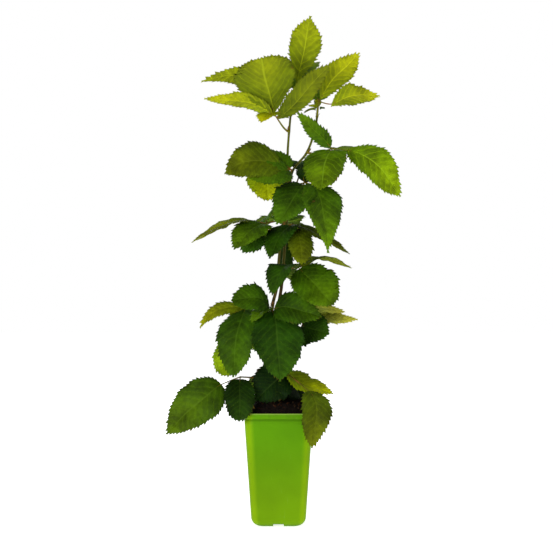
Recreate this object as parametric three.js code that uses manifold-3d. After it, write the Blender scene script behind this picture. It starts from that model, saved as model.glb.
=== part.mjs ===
// A potted bramble: two leaning canes with three- and five-part leaves, in a square nursery pot.
// Millimetres, +Z up, the viewer on the -Y side. The origin is the centre of the pot's flat underside.
import * as THREE from 'three';
import { mergeVertices } from 'three/addons/utils/BufferGeometryUtils.js';
import Module from 'manifold-3d';

const wasm = await Module();
wasm.setup();

// Pot
const POT_HEIGHT = 169;
const POT_FOOT_WIDTH = 79;
const POT_SHOULDER_WIDTH = 101;
const POT_CORNER = 13;
const WALL = 1.8;
const FLOOR = 6.5;
const FOOT_ROUND = 14;
const FOOT_STEPS = 4;
const FOOT_SLOPE = 8;
const RIM_WIDTH = 103.4;
const RIM_HEIGHT = 8;
const RIM_FLARE = 0.8;
const CORNER_SEGMENTS = 5;
const DRAIN_WIDTH = 15.5;
const DRAIN_HEIGHT = 5.2;
const DRAIN_DEPTH = 26;

// Soil, heaped a little over the rim
const CLEARANCE = 0.3;
const SOIL_EDGE = 161;
const SOIL_TOP = 183;
const MOUND_TOP_WIDTH = 66;
const MOUND_SLOPE = 14;
const MOUND_CORNER = 22;
const MOUND_CORNER_SEGMENTS = 3;
const MOUND_SLOPE_SEGMENTS = 4;

// Canes
const CANE_SIDES = 8;
const CANE_STEPS = 18;
const CANE_FOOT_RADIUS = 2.9;
const CANE_TIP_RADIUS = 1.5;

// Leaf stalks
const STALK_SIDES = 5;
const PETIOLE_STEPS = 6;
const PETIOLE_FOOT_RADIUS = 1.5;
const PETIOLE_TIP_RADIUS = 1;
const PETIOLE_STRAIGHT = 0.25;
const PETIOLE_BEND = 0.6;
const PETIOLE_SAG = 0.05;
const STALKLET_STEPS = 2;
const STALKLET_RADIUS = 0.95;
const STALKLET_ROOT = 1.5;
const STALKLET_FLATNESS = 0.85;

// Leaflets
const BLADE_ROWS = 8;
const BLADE_THICKNESS = 1.2;
const RIB_THICKNESS = 1;
const BLADE_END_WIDTH = 1.2;
const ROUND_FOOT = 0.5;
const FINE_POINT = 0.85;
const TOOTH = 0.05;
const SHORT_STALK = 4;
const ARCH = 0.1;
const SKEW = 0.6;
const FOLD = 0.2;

// How close two places have to be to count as one
const SAME_PLACE = 1e-4;

const UP = [0, 0, 1];

const COLOURS = {
  pot: 0x6fae00,
  soil: 0x2a1c14,
  cane: 0x6d6a1c,
  youngLeaf: 0x94a800,
  leaf: 0x4c7a08,
};

function material(colour, roughness) {
  return new THREE.MeshStandardMaterial({ color: colour, roughness, metalness: 0 });
}

// A closed geometry as a solid that can be joined and cut.
function solid(geometry) {
  const bare = geometry.clone();
  bare.deleteAttribute('normal');
  bare.deleteAttribute('uv');
  const merged = mergeVertices(bare, SAME_PLACE);
  return new wasm.Manifold(new wasm.Mesh({
    numProp: 3,
    vertProperties: new Float32Array(merged.attributes.position.array),
    triVerts: new Uint32Array(merged.index.array),
  }));
}

function geometryOf(body) {
  const mesh = body.getMesh();
  const geometry = new THREE.BufferGeometry();
  geometry.setAttribute('position', new THREE.BufferAttribute(mesh.vertProperties, 3));
  geometry.setIndex(new THREE.BufferAttribute(mesh.triVerts, 1));
  return geometry;
}

function named(name, body, finish) {
  const mesh = new THREE.Mesh(geometryOf(body), finish);
  mesh.name = name;
  return mesh;
}

// Pot and soil

function roundedSquare(width, corner) {
  const half = width / 2;
  const flat = half - corner;
  const shape = new THREE.Shape();
  shape.moveTo(half, -flat);
  shape.lineTo(half, flat);
  shape.absarc(flat, flat, corner, 0, Math.PI / 2);
  shape.lineTo(-flat, half);
  shape.absarc(-flat, flat, corner, Math.PI / 2, Math.PI);
  shape.lineTo(-half, -flat);
  shape.absarc(-flat, -flat, corner, Math.PI, 1.5 * Math.PI);
  shape.lineTo(flat, -half);
  shape.absarc(flat, -flat, corner, 1.5 * Math.PI, 2 * Math.PI);
  return shape;
}

// A rounded-square block that is as wide as its levels say, each a height and the width there.
function steppedBlock(levels, corner) {
  const steps = levels.length - 1;
  const shape = roundedSquare(levels[steps].width, corner);
  const geometry = new THREE.ExtrudeGeometry(shape, {
    depth: steps,
    steps,
    bevelEnabled: false,
    curveSegments: CORNER_SEGMENTS,
  });
  const position = geometry.attributes.position;
  for (let i = 0; i < position.count; i += 1) {
    const level = levels[Math.round(position.getZ(i))];
    const scale = level.width / levels[steps].width;
    position.setXYZ(i, position.getX(i) * scale, position.getY(i) * scale, level.z);
  }
  return solid(geometry);
}

function potWidthAt(z) {
  return POT_FOOT_WIDTH + (POT_SHOULDER_WIDTH - POT_FOOT_WIDTH) * z / (POT_HEIGHT - RIM_HEIGHT);
}

// The levels of the pot's outside: a quarter round at the foot, then a straight taper.
function potLevels() {
  const levels = [];
  for (let step = 0; step <= FOOT_STEPS; step += 1) {
    const turn = step / FOOT_STEPS * Math.PI / 2;
    const z = FOOT_ROUND * (1 - Math.cos(turn));
    levels.push({ z, width: potWidthAt(z) - 2 * FOOT_ROUND * (1 - Math.sin(turn)) });
  }
  levels.push({ z: POT_HEIGHT, width: potWidthAt(POT_HEIGHT) });
  return levels;
}

// A block that stays inside the pot's outer wall by the inset and slopes in at its lower edge.
function insideBlock(inset, bottom, top) {
  const level = (z) => ({ z, width: potWidthAt(z) - 2 * inset });
  const floor = { z: bottom, width: level(bottom).width - 2 * FOOT_SLOPE };
  return steppedBlock([floor, level(bottom + FOOT_SLOPE), level(top)], POT_CORNER - inset);
}

function makePot() {
  const shoulder = POT_HEIGHT - RIM_HEIGHT;
  const rim = [{ z: shoulder, width: RIM_WIDTH }, { z: POT_HEIGHT, width: RIM_WIDTH + RIM_FLARE }];
  let pot = steppedBlock(potLevels(), POT_CORNER).add(steppedBlock(rim, POT_CORNER));
  pot = pot.subtract(insideBlock(WALL, FLOOR, POT_HEIGHT + RIM_HEIGHT));
  for (const turn of [0, 1, 2, 3]) {
    const notch = new THREE.BoxGeometry(DRAIN_WIDTH, 2 * DRAIN_DEPTH, 2 * DRAIN_HEIGHT);
    notch.translate(0, POT_FOOT_WIDTH / 2, 0);
    notch.rotateZ(turn * Math.PI / 2);
    pot = pot.subtract(solid(notch));
  }
  return pot;
}

function makeSoil() {
  const filling = insideBlock(WALL + CLEARANCE, FLOOR + CLEARANCE, SOIL_EDGE);
  const rise = SOIL_TOP - SOIL_EDGE;
  const mound = new THREE.ExtrudeGeometry(roundedSquare(MOUND_TOP_WIDTH, MOUND_CORNER), {
    depth: 1,
    bevelThickness: rise,
    bevelSize: MOUND_SLOPE,
    bevelSegments: MOUND_SLOPE_SEGMENTS,
    curveSegments: MOUND_CORNER_SEGMENTS,
  });
  mound.translate(0, 0, SOIL_EDGE - 1);
  return filling.add(solid(mound));
}

// Canes

// A round bar of the given radii, bent along a curve: its height becomes the way along the curve.
function bar(curve, footRadius, tipRadius, sides, steps) {
  const geometry = new THREE.CylinderGeometry(tipRadius, footRadius, 1, sides, steps);
  const frames = curve.computeFrenetFrames(steps);
  const position = geometry.attributes.position;
  const point = new THREE.Vector3();
  for (let i = 0; i < position.count; i += 1) {
    const share = position.getY(i) + 0.5;
    const ring = Math.round(share * steps);
    curve.getPointAt(ring / steps, point);
    point.addScaledVector(frames.binormals[ring], position.getX(i));
    point.addScaledVector(frames.normals[ring], position.getZ(i));
    position.setXYZ(i, point.x, point.y, point.z);
  }
  return solid(geometry);
}

// Each cane's course, from its flat cut on the soil to its tip: x and y at a few heights.
function caneCourse(places) {
  const foot = SOIL_TOP + CLEARANCE;
  const points = places.map(([x, y, z]) => new THREE.Vector3(x, y, z));
  points.unshift(new THREE.Vector3(places[0][0], places[0][1], foot));
  return new THREE.CatmullRomCurve3(points);
}

const CANE_LEFT = caneCourse([
  [-6, -5, 193], [-10, -6, 319], [-3, -6, 352], [1, -6, 398], [13, -6, 503], [14, -5, 559], [20, -4, 631],
]);
const CANE_RIGHT = caneCourse([
  [6, 6, 193], [0, 7, 319], [5, 7, 359], [17, 7, 506],
  [22, 6, 529], [43, 3, 556], [56, 0, 596], [59, 0, 625],
]);

// The point of a cane at a height, with its direction and radius there.
function caneAt(course, height) {
  let low = 0;
  let high = 1;
  while (high - low > SAME_PLACE) {
    const middle = (low + high) / 2;
    if (course.getPointAt(middle).z < height) {
      low = middle;
    } else {
      high = middle;
    }
  }
  return {
    point: course.getPointAt(low),
    along: course.getTangentAt(low),
    radius: CANE_FOOT_RADIUS + (CANE_TIP_RADIUS - CANE_FOOT_RADIUS) * low,
  };
}

// Leaves

// How wide a leaflet is at a share of its length, from 0 to 1. A small foot makes the base round and
// a large one a wedge, and a small point makes the tip blunt and a large one drawn out.
function outline(share, foot, point) {
  const shape = (at) => at ** foot * (1 - at) ** point;
  return shape(share) / shape(foot / (foot + point));
}

// The middle line of a leaflet and the directions across it and out of its upper face.
function leafletFrame(hub, leaflet) {
  const tip = new THREE.Vector3(...leaflet.tip);
  const stalk = leaflet.stalk
    ? new THREE.Vector3(...leaflet.stalk)
    : tip.clone().setLength(SHORT_STALK);
  const base = hub.clone().add(stalk);
  const along = hub.clone().add(tip).sub(base);
  const length = along.length();
  along.normalize();
  const out = new THREE.Vector3(...(leaflet.face ?? UP));
  out.addScaledVector(along, -out.dot(along)).normalize();
  const across = new THREE.Vector3().crossVectors(along, out);
  const arch = leaflet.arch ?? ARCH;
  const sweep = leaflet.sweep ?? 0;
  const skew = leaflet.skew ?? SKEW;
  const middle = (share) => {
    const bow = 4 * share * (1 - share) * (1 + skew * (1 - 2 * share));
    return base.clone()
      .addScaledVector(along, length * share)
      .addScaledVector(out, arch * length * bow)
      .addScaledVector(across, sweep * length * bow);
  };
  return { base, length, along, out, across, middle };
}

// A cross section of a leaflet: three points on its upper side, then three on its lower side. The
// middle and edge pairs give how far the upper and lower points lie from the centre.
function section(centre, across, out, half, middle, edge) {
  const points = [];
  for (const level of [0, 1]) {
    for (const side of [-1, 0, 1]) {
      const height = side === 0 ? middle[level] : edge[level];
      points.push(centre.clone().addScaledVector(across, side * half).addScaledVector(out, height));
    }
  }
  return points;
}

// The sections of a leaflet's own stalk, from just behind the hub to the foot of the blade.
function stalkSections(hub, frame) {
  const stalk = frame.base.clone().sub(hub);
  const along = stalk.clone().normalize();
  const across = frame.across.clone().addScaledVector(along, -frame.across.dot(along)).normalize();
  const out = new THREE.Vector3().crossVectors(across, along);
  const round = STALKLET_RADIUS;
  const sections = [];
  for (let step = 0; step < STALKLET_STEPS; step += 1) {
    const centre = hub.clone().addScaledVector(stalk, step / STALKLET_STEPS);
    if (step === 0) centre.addScaledVector(along, -STALKLET_ROOT);
    const half = round * STALKLET_FLATNESS;
    sections.push(section(centre, across, out, half, [round, -round], [round / 2, -round / 2]));
  }
  return sections;
}

// The sections of the blade: a thin folded plate with a toothed edge and a rib under its middle line.
function bladeSections(frame, leaflet) {
  const foot = leaflet.foot ?? ROUND_FOOT;
  const point = leaflet.point ?? FINE_POINT;
  const skin = BLADE_THICKNESS / 2;
  const sections = [];
  for (let row = 0; row <= BLADE_ROWS; row += 1) {
    const share = row / BLADE_ROWS;
    const tooth = row % 2 ? 1 + TOOTH : 1 - TOOTH;
    const half = Math.max(leaflet.wide / 2 * outline(share, foot, point) * tooth, BLADE_END_WIDTH / 2);
    const rib = RIB_THICKNESS * (1 - share);
    const lift = FOLD * half;
    const centre = frame.middle(share);
    sections.push(section(
      centre, frame.across, frame.out, half, [skin, -skin - rib], [lift + skin, lift - skin],
    ));
  }
  return sections;
}

// A leaflet: one closed skin over its sections, each of which is a ring of six points.
function leafletSolid(hub, leaflet) {
  const frame = leafletFrame(hub, leaflet);
  const sections = [...stalkSections(hub, frame), ...bladeSections(frame, leaflet)];
  const ring = [0, 1, 2, 5, 4, 3];
  const faces = [];
  const quad = (a, b, c, d) => faces.push(a, b, c, a, c, d);
  for (let row = 0; row + 1 < sections.length; row += 1) {
    for (let i = 0; i < ring.length; i += 1) {
      const a = 6 * row + ring[i];
      const b = 6 * row + ring[(i + 1) % ring.length];
      quad(a, b, b + 6, a + 6);
    }
  }
  const last = 6 * (sections.length - 1);
  for (const column of [0, 1]) {
    quad(column, column + 3, column + 4, column + 1);
    quad(last + column, last + column + 1, last + column + 4, last + column + 3);
  }
  const geometry = new THREE.BufferGeometry().setFromPoints(sections.flat());
  geometry.setIndex(faces);
  return solid(geometry);
}

// The common stalk, which leaves the cane squarely and rises to the hub of the leaflets.
function petiole(leaf, hub) {
  const node = caneAt(leaf.cane, leaf.height);
  const outward = hub.clone().sub(node.point);
  outward.addScaledVector(node.along, -outward.dot(node.along)).normalize();
  const start = node.point.clone().addScaledVector(outward, node.radius + CLEARANCE);
  const reach = start.distanceTo(hub);
  const course = new THREE.CubicBezierCurve3(
    start,
    start.clone().addScaledVector(outward, reach * PETIOLE_STRAIGHT),
    start.clone().lerp(hub, PETIOLE_BEND).addScaledVector(outward, reach * PETIOLE_SAG),
    hub,
  );
  return bar(course, PETIOLE_FOOT_RADIUS, PETIOLE_TIP_RADIUS, STALK_SIDES, PETIOLE_STEPS);
}

function compoundLeaf(leaf) {
  const hub = new THREE.Vector3(...leaf.hub);
  let body = petiole(leaf, hub);
  for (const leaflet of leaf.leaflets) {
    body = body.add(leafletSolid(hub, leaflet));
  }
  return body;
}

// Every leaf: the cane and height it grows from, its hub, and where each leaflet's tip lies from the hub.
// A face says which way a leaflet's upper side looks where it isn't up, and a stalk how far from the hub
// its blade begins. The rows run from the top of the plant down.
const BACK = [0, 1, 0.3];
const FRONT = [0, -1, 0.4];
const LEAVES = [
  {
    name: 'leaf_crown_tip', cane: CANE_LEFT, height: 621, hub: [26, -5, 648], young: true,
    leaflets: [
      { tip: [21, -30, 104], wide: 48, face: BACK, foot: 1.7, point: 1.1 },
      { tip: [35, 60, 53], wide: 42 },
      { tip: [-42, 65, 38], wide: 44 },
    ],
  },
  {
    name: 'leaf_crown_left', cane: CANE_LEFT, height: 586, hub: [-5, -28, 607], young: true,
    leaflets: [
      { tip: [-20, -32, 80], wide: 92, face: BACK, sweep: 0.02, foot: 1, point: 0.46 },
      { stalk: [-5, 9, 5], tip: [-110, 16, 52], wide: 34, face: [0, 1.4, 1], sweep: -0.28, skew: 0.3 },
      { tip: [-105, 8, 26], wide: 36, face: [0, 0.6, 1] },
      { tip: [-20, -52, -17], wide: 32 },
      { stalk: [3, 2, -5], tip: [80, -18, 72], wide: 37, face: [-0.3, 0.9, 0.6], arch: -0.04, foot: 0.8 },
    ],
  },
  {
    name: 'leaf_crown_right', cane: CANE_RIGHT, height: 609, hub: [60, -8, 631], young: true,
    leaflets: [
      { tip: [59, -28, 67], wide: 43, face: [-0.3, 1, 0.5], foot: 1, point: 1 },
      {
        stalk: [18, -8, -9], tip: [88, -38, 2], wide: 43,
        face: [0, 0.8, 1], arch: 0.16, foot: 1, point: 1.2,
      },
      { tip: [-15, 75, 25], wide: 44 },
    ],
  },
  {
    name: 'leaf_high_right', cane: CANE_RIGHT, height: 556, hub: [80, -15, 559], young: true,
    leaflets: [
      { stalk: [21, -5, -3], tip: [100, -15, -72], wide: 52, face: FRONT, sweep: -0.08, foot: 0.75 },
      { tip: [-20, -70, -66], wide: 64, point: 0.6 },
      { tip: [-52, -5, 53], wide: 24, face: [-0.6, -0.8, 0.3], arch: -0.06 },
      { tip: [54, 62, 0], wide: 44, arch: 0.02 },
    ],
  },
  {
    name: 'leaf_mid_left', cane: CANE_LEFT, height: 501, hub: [19, -38, 526],
    leaflets: [
      {
        stalk: [-14, -4, 2], tip: [-97, -25, -9], wide: 62,
        face: [0, -1, 0.45], sweep: 0.15, skew: 0, point: 0.7,
      },
      { tip: [-60, -34, -17], wide: 54, face: [0, -1, 0.7], arch: 0.05 },
      { tip: [-44, 34, 34], wide: 34, face: [0, -1, 1], arch: 0 },
    ],
  },
  {
    name: 'leaf_mid_behind_left', cane: CANE_LEFT, height: 518, hub: [-20, 22, 541],
    leaflets: [
      { tip: [4, -14, -58], wide: 60, face: FRONT, point: 0.7 },
      { tip: [-18, 84, 6], wide: 50 },
    ],
  },
  {
    name: 'leaf_mid_behind_right', cane: CANE_RIGHT, height: 493, hub: [34, 28, 529],
    leaflets: [
      { tip: [-2, 78, 20], wide: 36 },
      { tip: [68, 52, 8], wide: 44 },
    ],
  },
  {
    name: 'leaf_mid_right', cane: CANE_RIGHT, height: 506, hub: [38, -32, 507],
    leaflets: [
      { tip: [-41, -48, -63], wide: 62, face: [-0.2, -1, 0.6], sweep: -0.05 },
      { stalk: [12, -8, -2], tip: [33, -43, -104], wide: 68, foot: 0.6, point: 1.3 },
      { tip: [23, 25, 3], wide: 20 },
      { tip: [-6, 26, 24], wide: 18 },
    ],
  },
  {
    name: 'leaf_centre_left', cane: CANE_RIGHT, height: 453, hub: [-19, -20, 448],
    leaflets: [
      { stalk: [-24, -5, 4], tip: [-108, -20, -29], wide: 46, face: [0, -0.2, 1], arch: 0.07, skew: 0.4 },
      { tip: [-45, -55, -40], wide: 54, face: [0, -0.5, 1] },
      { tip: [-34, -10, -44], wide: 46, face: FRONT },
      { tip: [16, 50, 18], wide: 34, face: [-0.7, 0, 0.7] },
    ],
  },
  {
    name: 'leaf_centre_right', cane: CANE_LEFT, height: 443, hub: [21, -25, 447],
    leaflets: [
      { tip: [-34, -45, -52], wide: 52 },
      { stalk: [7, -10, -8], tip: [12, -45, -60], wide: 38, point: 0.6 },
      { tip: [83, -20, -45], wide: 42, face: [0, -0.2, 1], arch: 0.04 },
    ],
  },
  {
    name: 'leaf_centre_behind', cane: CANE_RIGHT, height: 445, hub: [12, 42, 455],
    leaflets: [
      { tip: [-52, 46, -10], wide: 48 },
      { tip: [6, 86, -8], wide: 54 },
      { tip: [30, 40, -50], wide: 44 },
      { stalk: [0, -5, -17], tip: [0, -17, -82], wide: 23, face: FRONT, point: 0.5 },
    ],
  },
  {
    name: 'leaf_low_right', cane: CANE_RIGHT, height: 381, hub: [29, -20, 383],
    leaflets: [
      { tip: [51, -42, -55], wide: 68, face: [0.1, -1, 0.5], arch: 0, point: 0.6 },
      { tip: [-38, -40, -41], wide: 52, arch: 0.27 },
      { tip: [81, 40, -1], wide: 52, arch: 0.14 },
    ],
  },
  {
    name: 'leaf_low_behind_left', cane: CANE_LEFT, height: 361, hub: [-8, 38, 373],
    leaflets: [
      { tip: [36, 72, -12], wide: 44 },
      { tip: [62, 38, -34], wide: 40 },
    ],
  },
  {
    name: 'leaf_low_front', cane: CANE_LEFT, height: 325, hub: [-10, -25, 322],
    leaflets: [
      { tip: [12, -35, -105], wide: 80, foot: 0.65, point: 0.85 },
      { tip: [-59, -25, 12], wide: 50, face: [0, -1, 0.8], arch: 0.15, sweep: 0.1, point: 0.6 },
      { tip: [73, -20, -12], wide: 49, face: FRONT, sweep: -0.04 },
      { tip: [-29, -35, -19], wide: 30 },
    ],
  },
  {
    name: 'leaf_low_left', cane: CANE_LEFT, height: 308, hub: [-48, -15, 325],
    leaflets: [
      { tip: [-18, -45, -102], wide: 60, point: 0.65 },
      { stalk: [0, 14, -40], tip: [-42, 25, -103], wide: 50, face: FRONT, point: 0.5 },
      { tip: [-68, -5, -33], wide: 26, face: [0, -1, 1], sweep: 0.15, skew: -0.3 },
    ],
  },
  {
    name: 'leaf_low_behind_right', cane: CANE_RIGHT, height: 303, hub: [33, 25, 315],
    leaflets: [
      { stalk: [2, -4, -20], tip: [43, -25, -32], wide: 58, face: FRONT, sweep: 0.05 },
      { tip: [69, 15, 0], wide: 32, face: [0, -0.6, 1] },
      { tip: [87, -5, -11], wide: 36, face: [0, -0.6, 1], arch: -0.06 },
    ],
  },
  {
    name: 'leaf_lower_behind', cane: CANE_RIGHT, height: 265, hub: [-2, 45, 283],
    leaflets: [
      { tip: [-38, 56, -30], wide: 52 },
      { tip: [10, 84, -28], wide: 58, sweep: 0.06 },
      { tip: [44, 44, -14], wide: 42 },
    ],
  },
  {
    name: 'leaf_foot_left', cane: CANE_LEFT, height: 218, hub: [-57, -20, 220],
    leaflets: [
      { stalk: [-28, -5, -10], tip: [-108, -15, -83], wide: 66, face: [-0.1, -1, 0.3] },
      { tip: [0, -42, -61], wide: 45, point: 0.5 },
    ],
  },
  {
    name: 'leaf_foot_right', cane: CANE_RIGHT, height: 218, hub: [10, -15, 227],
    leaflets: [
      { tip: [71, -15, -31], wide: 45, face: [0.3, -0.6, 1], arch: -0.08 },
      { stalk: [36, -35, -25], tip: [38, -51, -106], wide: 44, sweep: -0.08 },
      { tip: [-43, -16, -41], wide: 62, face: FRONT },
      { tip: [24, 19, -41], wide: 37, face: FRONT, foot: 1.5, point: 0.9 },
    ],
  },
  {
    name: 'leaf_foot_behind', cane: CANE_LEFT, height: 208, hub: [-8, 40, 219],
    leaflets: [
      { tip: [-38, 44, -34], wide: 42 },
      { tip: [8, 78, -20], wide: 48, sweep: -0.05 },
      { tip: [44, 46, -40], wide: 46 },
      { tip: [36, -14, -28], wide: 44, face: FRONT },
    ],
  },
];

// The whole plant

const plant = new THREE.Group();
plant.add(named('pot', makePot(), material(COLOURS.pot, 0.35)));
plant.add(named('soil', makeSoil(), material(COLOURS.soil, 0.95)));
for (const [name, course] of [['cane_left', CANE_LEFT], ['cane_right', CANE_RIGHT]]) {
  const body = bar(course, CANE_FOOT_RADIUS, CANE_TIP_RADIUS, CANE_SIDES, CANE_STEPS);
  plant.add(named(name, body, material(COLOURS.cane, 0.6)));
}
for (const leaf of LEAVES) {
  const colour = leaf.young ? COLOURS.youngLeaf : COLOURS.leaf;
  plant.add(named(leaf.name, compoundLeaf(leaf), material(colour, 0.5)));
}

export default plant;
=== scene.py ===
# %% [markdown]
# # A potted bramble
#
# The real thing is a young fruiting bramble in a square, lime-green nursery pot: two thin leaning
# canes, a spiral of three- and five-part leaves with saw-toothed edges, and dark soil heaped a
# little over the rim. This file dresses a plain model of it, one kind of surface at a time.
#
# Every new surface is a *grid*: rows that run along the thing and columns that run round or across
# it. numpy works out all the points of a grid at once, and Blender only gets the result.

# %% Load the plain model
import math

import bpy
import numpy as np
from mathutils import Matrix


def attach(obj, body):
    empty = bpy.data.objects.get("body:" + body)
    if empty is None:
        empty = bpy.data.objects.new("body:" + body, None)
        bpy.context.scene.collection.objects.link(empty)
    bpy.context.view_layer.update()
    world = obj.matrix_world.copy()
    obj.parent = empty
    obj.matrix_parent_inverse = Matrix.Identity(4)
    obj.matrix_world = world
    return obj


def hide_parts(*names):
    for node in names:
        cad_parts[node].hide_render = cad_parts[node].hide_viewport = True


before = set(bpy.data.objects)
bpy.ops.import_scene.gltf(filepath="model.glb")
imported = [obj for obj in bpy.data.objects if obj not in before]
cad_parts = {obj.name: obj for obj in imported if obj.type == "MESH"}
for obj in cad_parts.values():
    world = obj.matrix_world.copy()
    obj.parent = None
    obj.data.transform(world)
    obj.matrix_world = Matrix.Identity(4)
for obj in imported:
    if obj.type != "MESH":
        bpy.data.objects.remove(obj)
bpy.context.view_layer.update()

MM = 0.001

# %% [markdown]
# ## The camera
#
# The photograph was taken from straight in front, level with the middle of the plant, by a long
# lens that keeps the pot's sides nearly parallel. Blender gives a focal length for a sensor 36 mm
# wide, so 1200 pixels on an image 553 pixels wide become 78 mm.

# %% Camera
IMAGE_SIZE = 553
FOCAL_PIXELS = 1200
SENSOR = 36
CAMERA_PLACE = (-0.003, -1.8, 0.369)

scene = bpy.context.scene
camera_data = bpy.data.cameras.new("camera")
camera_data.sensor_width = SENSOR
camera_data.lens = FOCAL_PIXELS / IMAGE_SIZE * SENSOR
camera = bpy.data.objects.new("camera", camera_data)
camera.location = CAMERA_PLACE
camera.rotation_euler = (math.pi / 2, 0, 0)
scene.collection.objects.link(camera)
scene.camera = camera
print("lens", round(camera_data.lens, 1), "mm")

# %% [markdown]
# ## Shader helpers
#
# A material is a small net of nodes, which is long and hard to read when it is written out link by
# link. These helpers keep each step on one line.

# %% Shader helpers
WHITE = (1, 1, 1, 1)


def add_node(tree, kind, inputs=None, **settings):
    """A new node. An input is given as a value, or as another node's output to be linked."""
    made = tree.nodes.new(kind)
    for key, value in settings.items():
        setattr(made, key, value)
    for key, value in (inputs or {}).items():
        fill(tree, made.inputs[key], value)
    return made


def fill(tree, socket, value):
    """Links an output to the socket, or writes a plain value on it."""
    if isinstance(value, bpy.types.NodeSocket):
        tree.links.new(value, socket)
    else:
        socket.default_value = value


def maths(tree, operation, a, b=0.0):
    """One sum on one or two numbers."""
    return add_node(tree, "ShaderNodeMath", {0: a, 1: b}, operation=operation).outputs[0]


def fade(tree, value, low, high, start=0.0, end=1.0):
    """start below low, end above high, and a smooth rise between them."""
    span = {"Value": value, "From Min": low, "From Max": high, "To Min": start, "To Max": end}
    made = add_node(tree, "ShaderNodeMapRange", span, interpolation_type="SMOOTHSTEP")
    return made.outputs["Result"]


def mixed(tree, share, a, b, how="MIX"):
    """Colour a turned into colour b by the share."""
    made = add_node(tree, "ShaderNodeMix", data_type="RGBA", blend_type=how)
    for key, value in {"Factor": share, "A": a, "B": b}.items():
        fill(tree, [s for s in made.inputs if s.name == key and s.enabled][0], value)
    return [s for s in made.outputs if s.enabled][0]


def product(tree, a, b):
    """One number times another."""
    return maths(tree, "MULTIPLY", a, b)


def times(tree, colour, *factors):
    """A colour multiplied by numbers or by other colours."""
    for factor in factors:
        colour = mixed(tree, 1.0, colour, factor, "MULTIPLY")
    return colour


def layered(tree, colour, *layers):
    """A colour with others laid over it in turn, each by its share."""
    for share, over in layers:
        colour = mixed(tree, share, colour, over)
    return colour


def spot(tree):
    """The point being shaded, in the piece's own coordinates, which are in metres."""
    return add_node(tree, "ShaderNodeTexCoord").outputs["Object"]


def noise(tree, scale, detail=3.0, stretch=(1, 1, 1)):
    """Cloudy grey, with about so many clouds to the metre."""
    sized = add_node(tree, "ShaderNodeMapping", {"Vector": spot(tree), "Scale": stretch})
    cloud = {"Vector": sized.outputs["Vector"], "Scale": scale, "Detail": detail}
    return add_node(tree, "ShaderNodeTexNoise", cloud).outputs["Fac"]


def patches(tree, scale, detail, low, high, start=0.0, end=1.0):
    """Noise faded from start to end: a range of its grey is picked out and stretched."""
    return fade(tree, noise(tree, scale, detail), low, high, start, end)


def dealt_tone(tree):
    """The plain colour that this leaf, stalk or crumb was dealt."""
    return add_node(tree, "ShaderNodeAttribute", attribute_name="tone").outputs["Color"]


def new_material(name, **values):
    """A material with one Principled shader and the given plain values on its sockets."""
    material = bpy.data.materials.new(name)
    material.use_nodes = True
    shader = material.node_tree.nodes["Principled BSDF"]
    for key, value in values.items():
        shader.inputs[key.replace("_", " ")].default_value = value
    return material, material.node_tree, shader


def dress(tree, shader, colour, height, depth, strength=1.0, rough=None):
    """Gives the shader its colour, a relief some metres deep, and its roughness where it varies."""
    relief = {"Height": height, "Distance": depth, "Strength": strength}
    bump = add_node(tree, "ShaderNodeBump", relief)
    tree.links.new(colour, shader.inputs["Base Color"])
    tree.links.new(bump.outputs["Normal"], shader.inputs["Normal"])
    if rough is not None:
        tree.links.new(rough, shader.inputs["Roughness"])


print("helpers ready")

# %% [markdown]
# ## Light and background
#
# The plant was photographed in a white tent: light from all sides, most of it from the front, and
# a pure white background. The world is therefore white for the camera but dimmer as a lamp, so
# that the soft lamps still give the leaves a light and a dark side. The plain "Standard" view
# keeps the strong colours, which Blender's filmic one would wash out.

# %% World and view
WORLD_LIGHT = 0.36

scene.view_settings.view_transform = "Standard"
scene.view_settings.look = "None"
world = bpy.data.worlds.new("white_tent")
scene.world = world
world.use_nodes = True
tree = world.node_tree
tree.nodes.clear()
seen = add_node(tree, "ShaderNodeBackground", {"Color": WHITE, "Strength": 1.0})
lighting = add_node(tree, "ShaderNodeBackground", {"Color": WHITE, "Strength": WORLD_LIGHT})
ray = add_node(tree, "ShaderNodeLightPath").outputs["Is Camera Ray"]
choice = {0: ray, 1: lighting.outputs["Background"], 2: seen.outputs["Background"]}
choice = add_node(tree, "ShaderNodeMixShader", choice).outputs["Shader"]
add_node(tree, "ShaderNodeOutputWorld", {"Surface": choice})
print("world light", WORLD_LIGHT)

# %% Lamps
LAMP_AIM = (0, 0, 0.4)
# Each soft square lamp: its name, place and width in metres, and power in watts.
LAMPS = [
    ("front_panel", (-1.1, -2.2, 0.7), 1.2, 34),
    ("side_panel", (1.9, -0.5, 1.0), 1.2, 8),
    ("back_panel", (-0.6, 2.2, 0.9), 1.6, 16),
    ("roof_panel", (0.1, -0.1, 2.2), 1.4, 6),
]

for name, place, width, power in LAMPS:
    light = bpy.data.lights.new(name, "AREA")
    light.shape = "SQUARE"
    light.size = width
    light.energy = power
    lamp = bpy.data.objects.new(name, light)
    lamp.location = place
    away = np.array(place, float) - np.array(LAMP_AIM, float)
    slope = math.acos(away[2] / np.linalg.norm(away))
    lamp.rotation_euler = (slope, 0, math.atan2(away[1], away[0]) + math.pi / 2)
    scene.collection.objects.link(lamp)
print("lamps:", [row[0] for row in LAMPS])

# %% Floor
FLOOR_REACH = 6.0

floor_mesh = bpy.data.meshes.new("floor")
corners = [(-1, -1), (1, -1), (1, 1), (-1, 1)]
corners = [(x * FLOOR_REACH, y * FLOOR_REACH, 0) for x, y in corners]
floor_mesh.from_pydata(corners, [], [(0, 1, 2, 3)])
floor = bpy.data.objects.new("floor", floor_mesh)
scene.collection.objects.link(floor)
floor_material, _, _ = new_material(
    "white_floor", Base_Color=(0.9, 0.9, 0.9, 1), Roughness=0.9, Specular_IOR_Level=0.1,
    Emission_Color=WHITE, Emission_Strength=0.75,
)
floor_mesh.materials.append(floor_material)
print("floor", 2 * FLOOR_REACH, "m wide")

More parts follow.
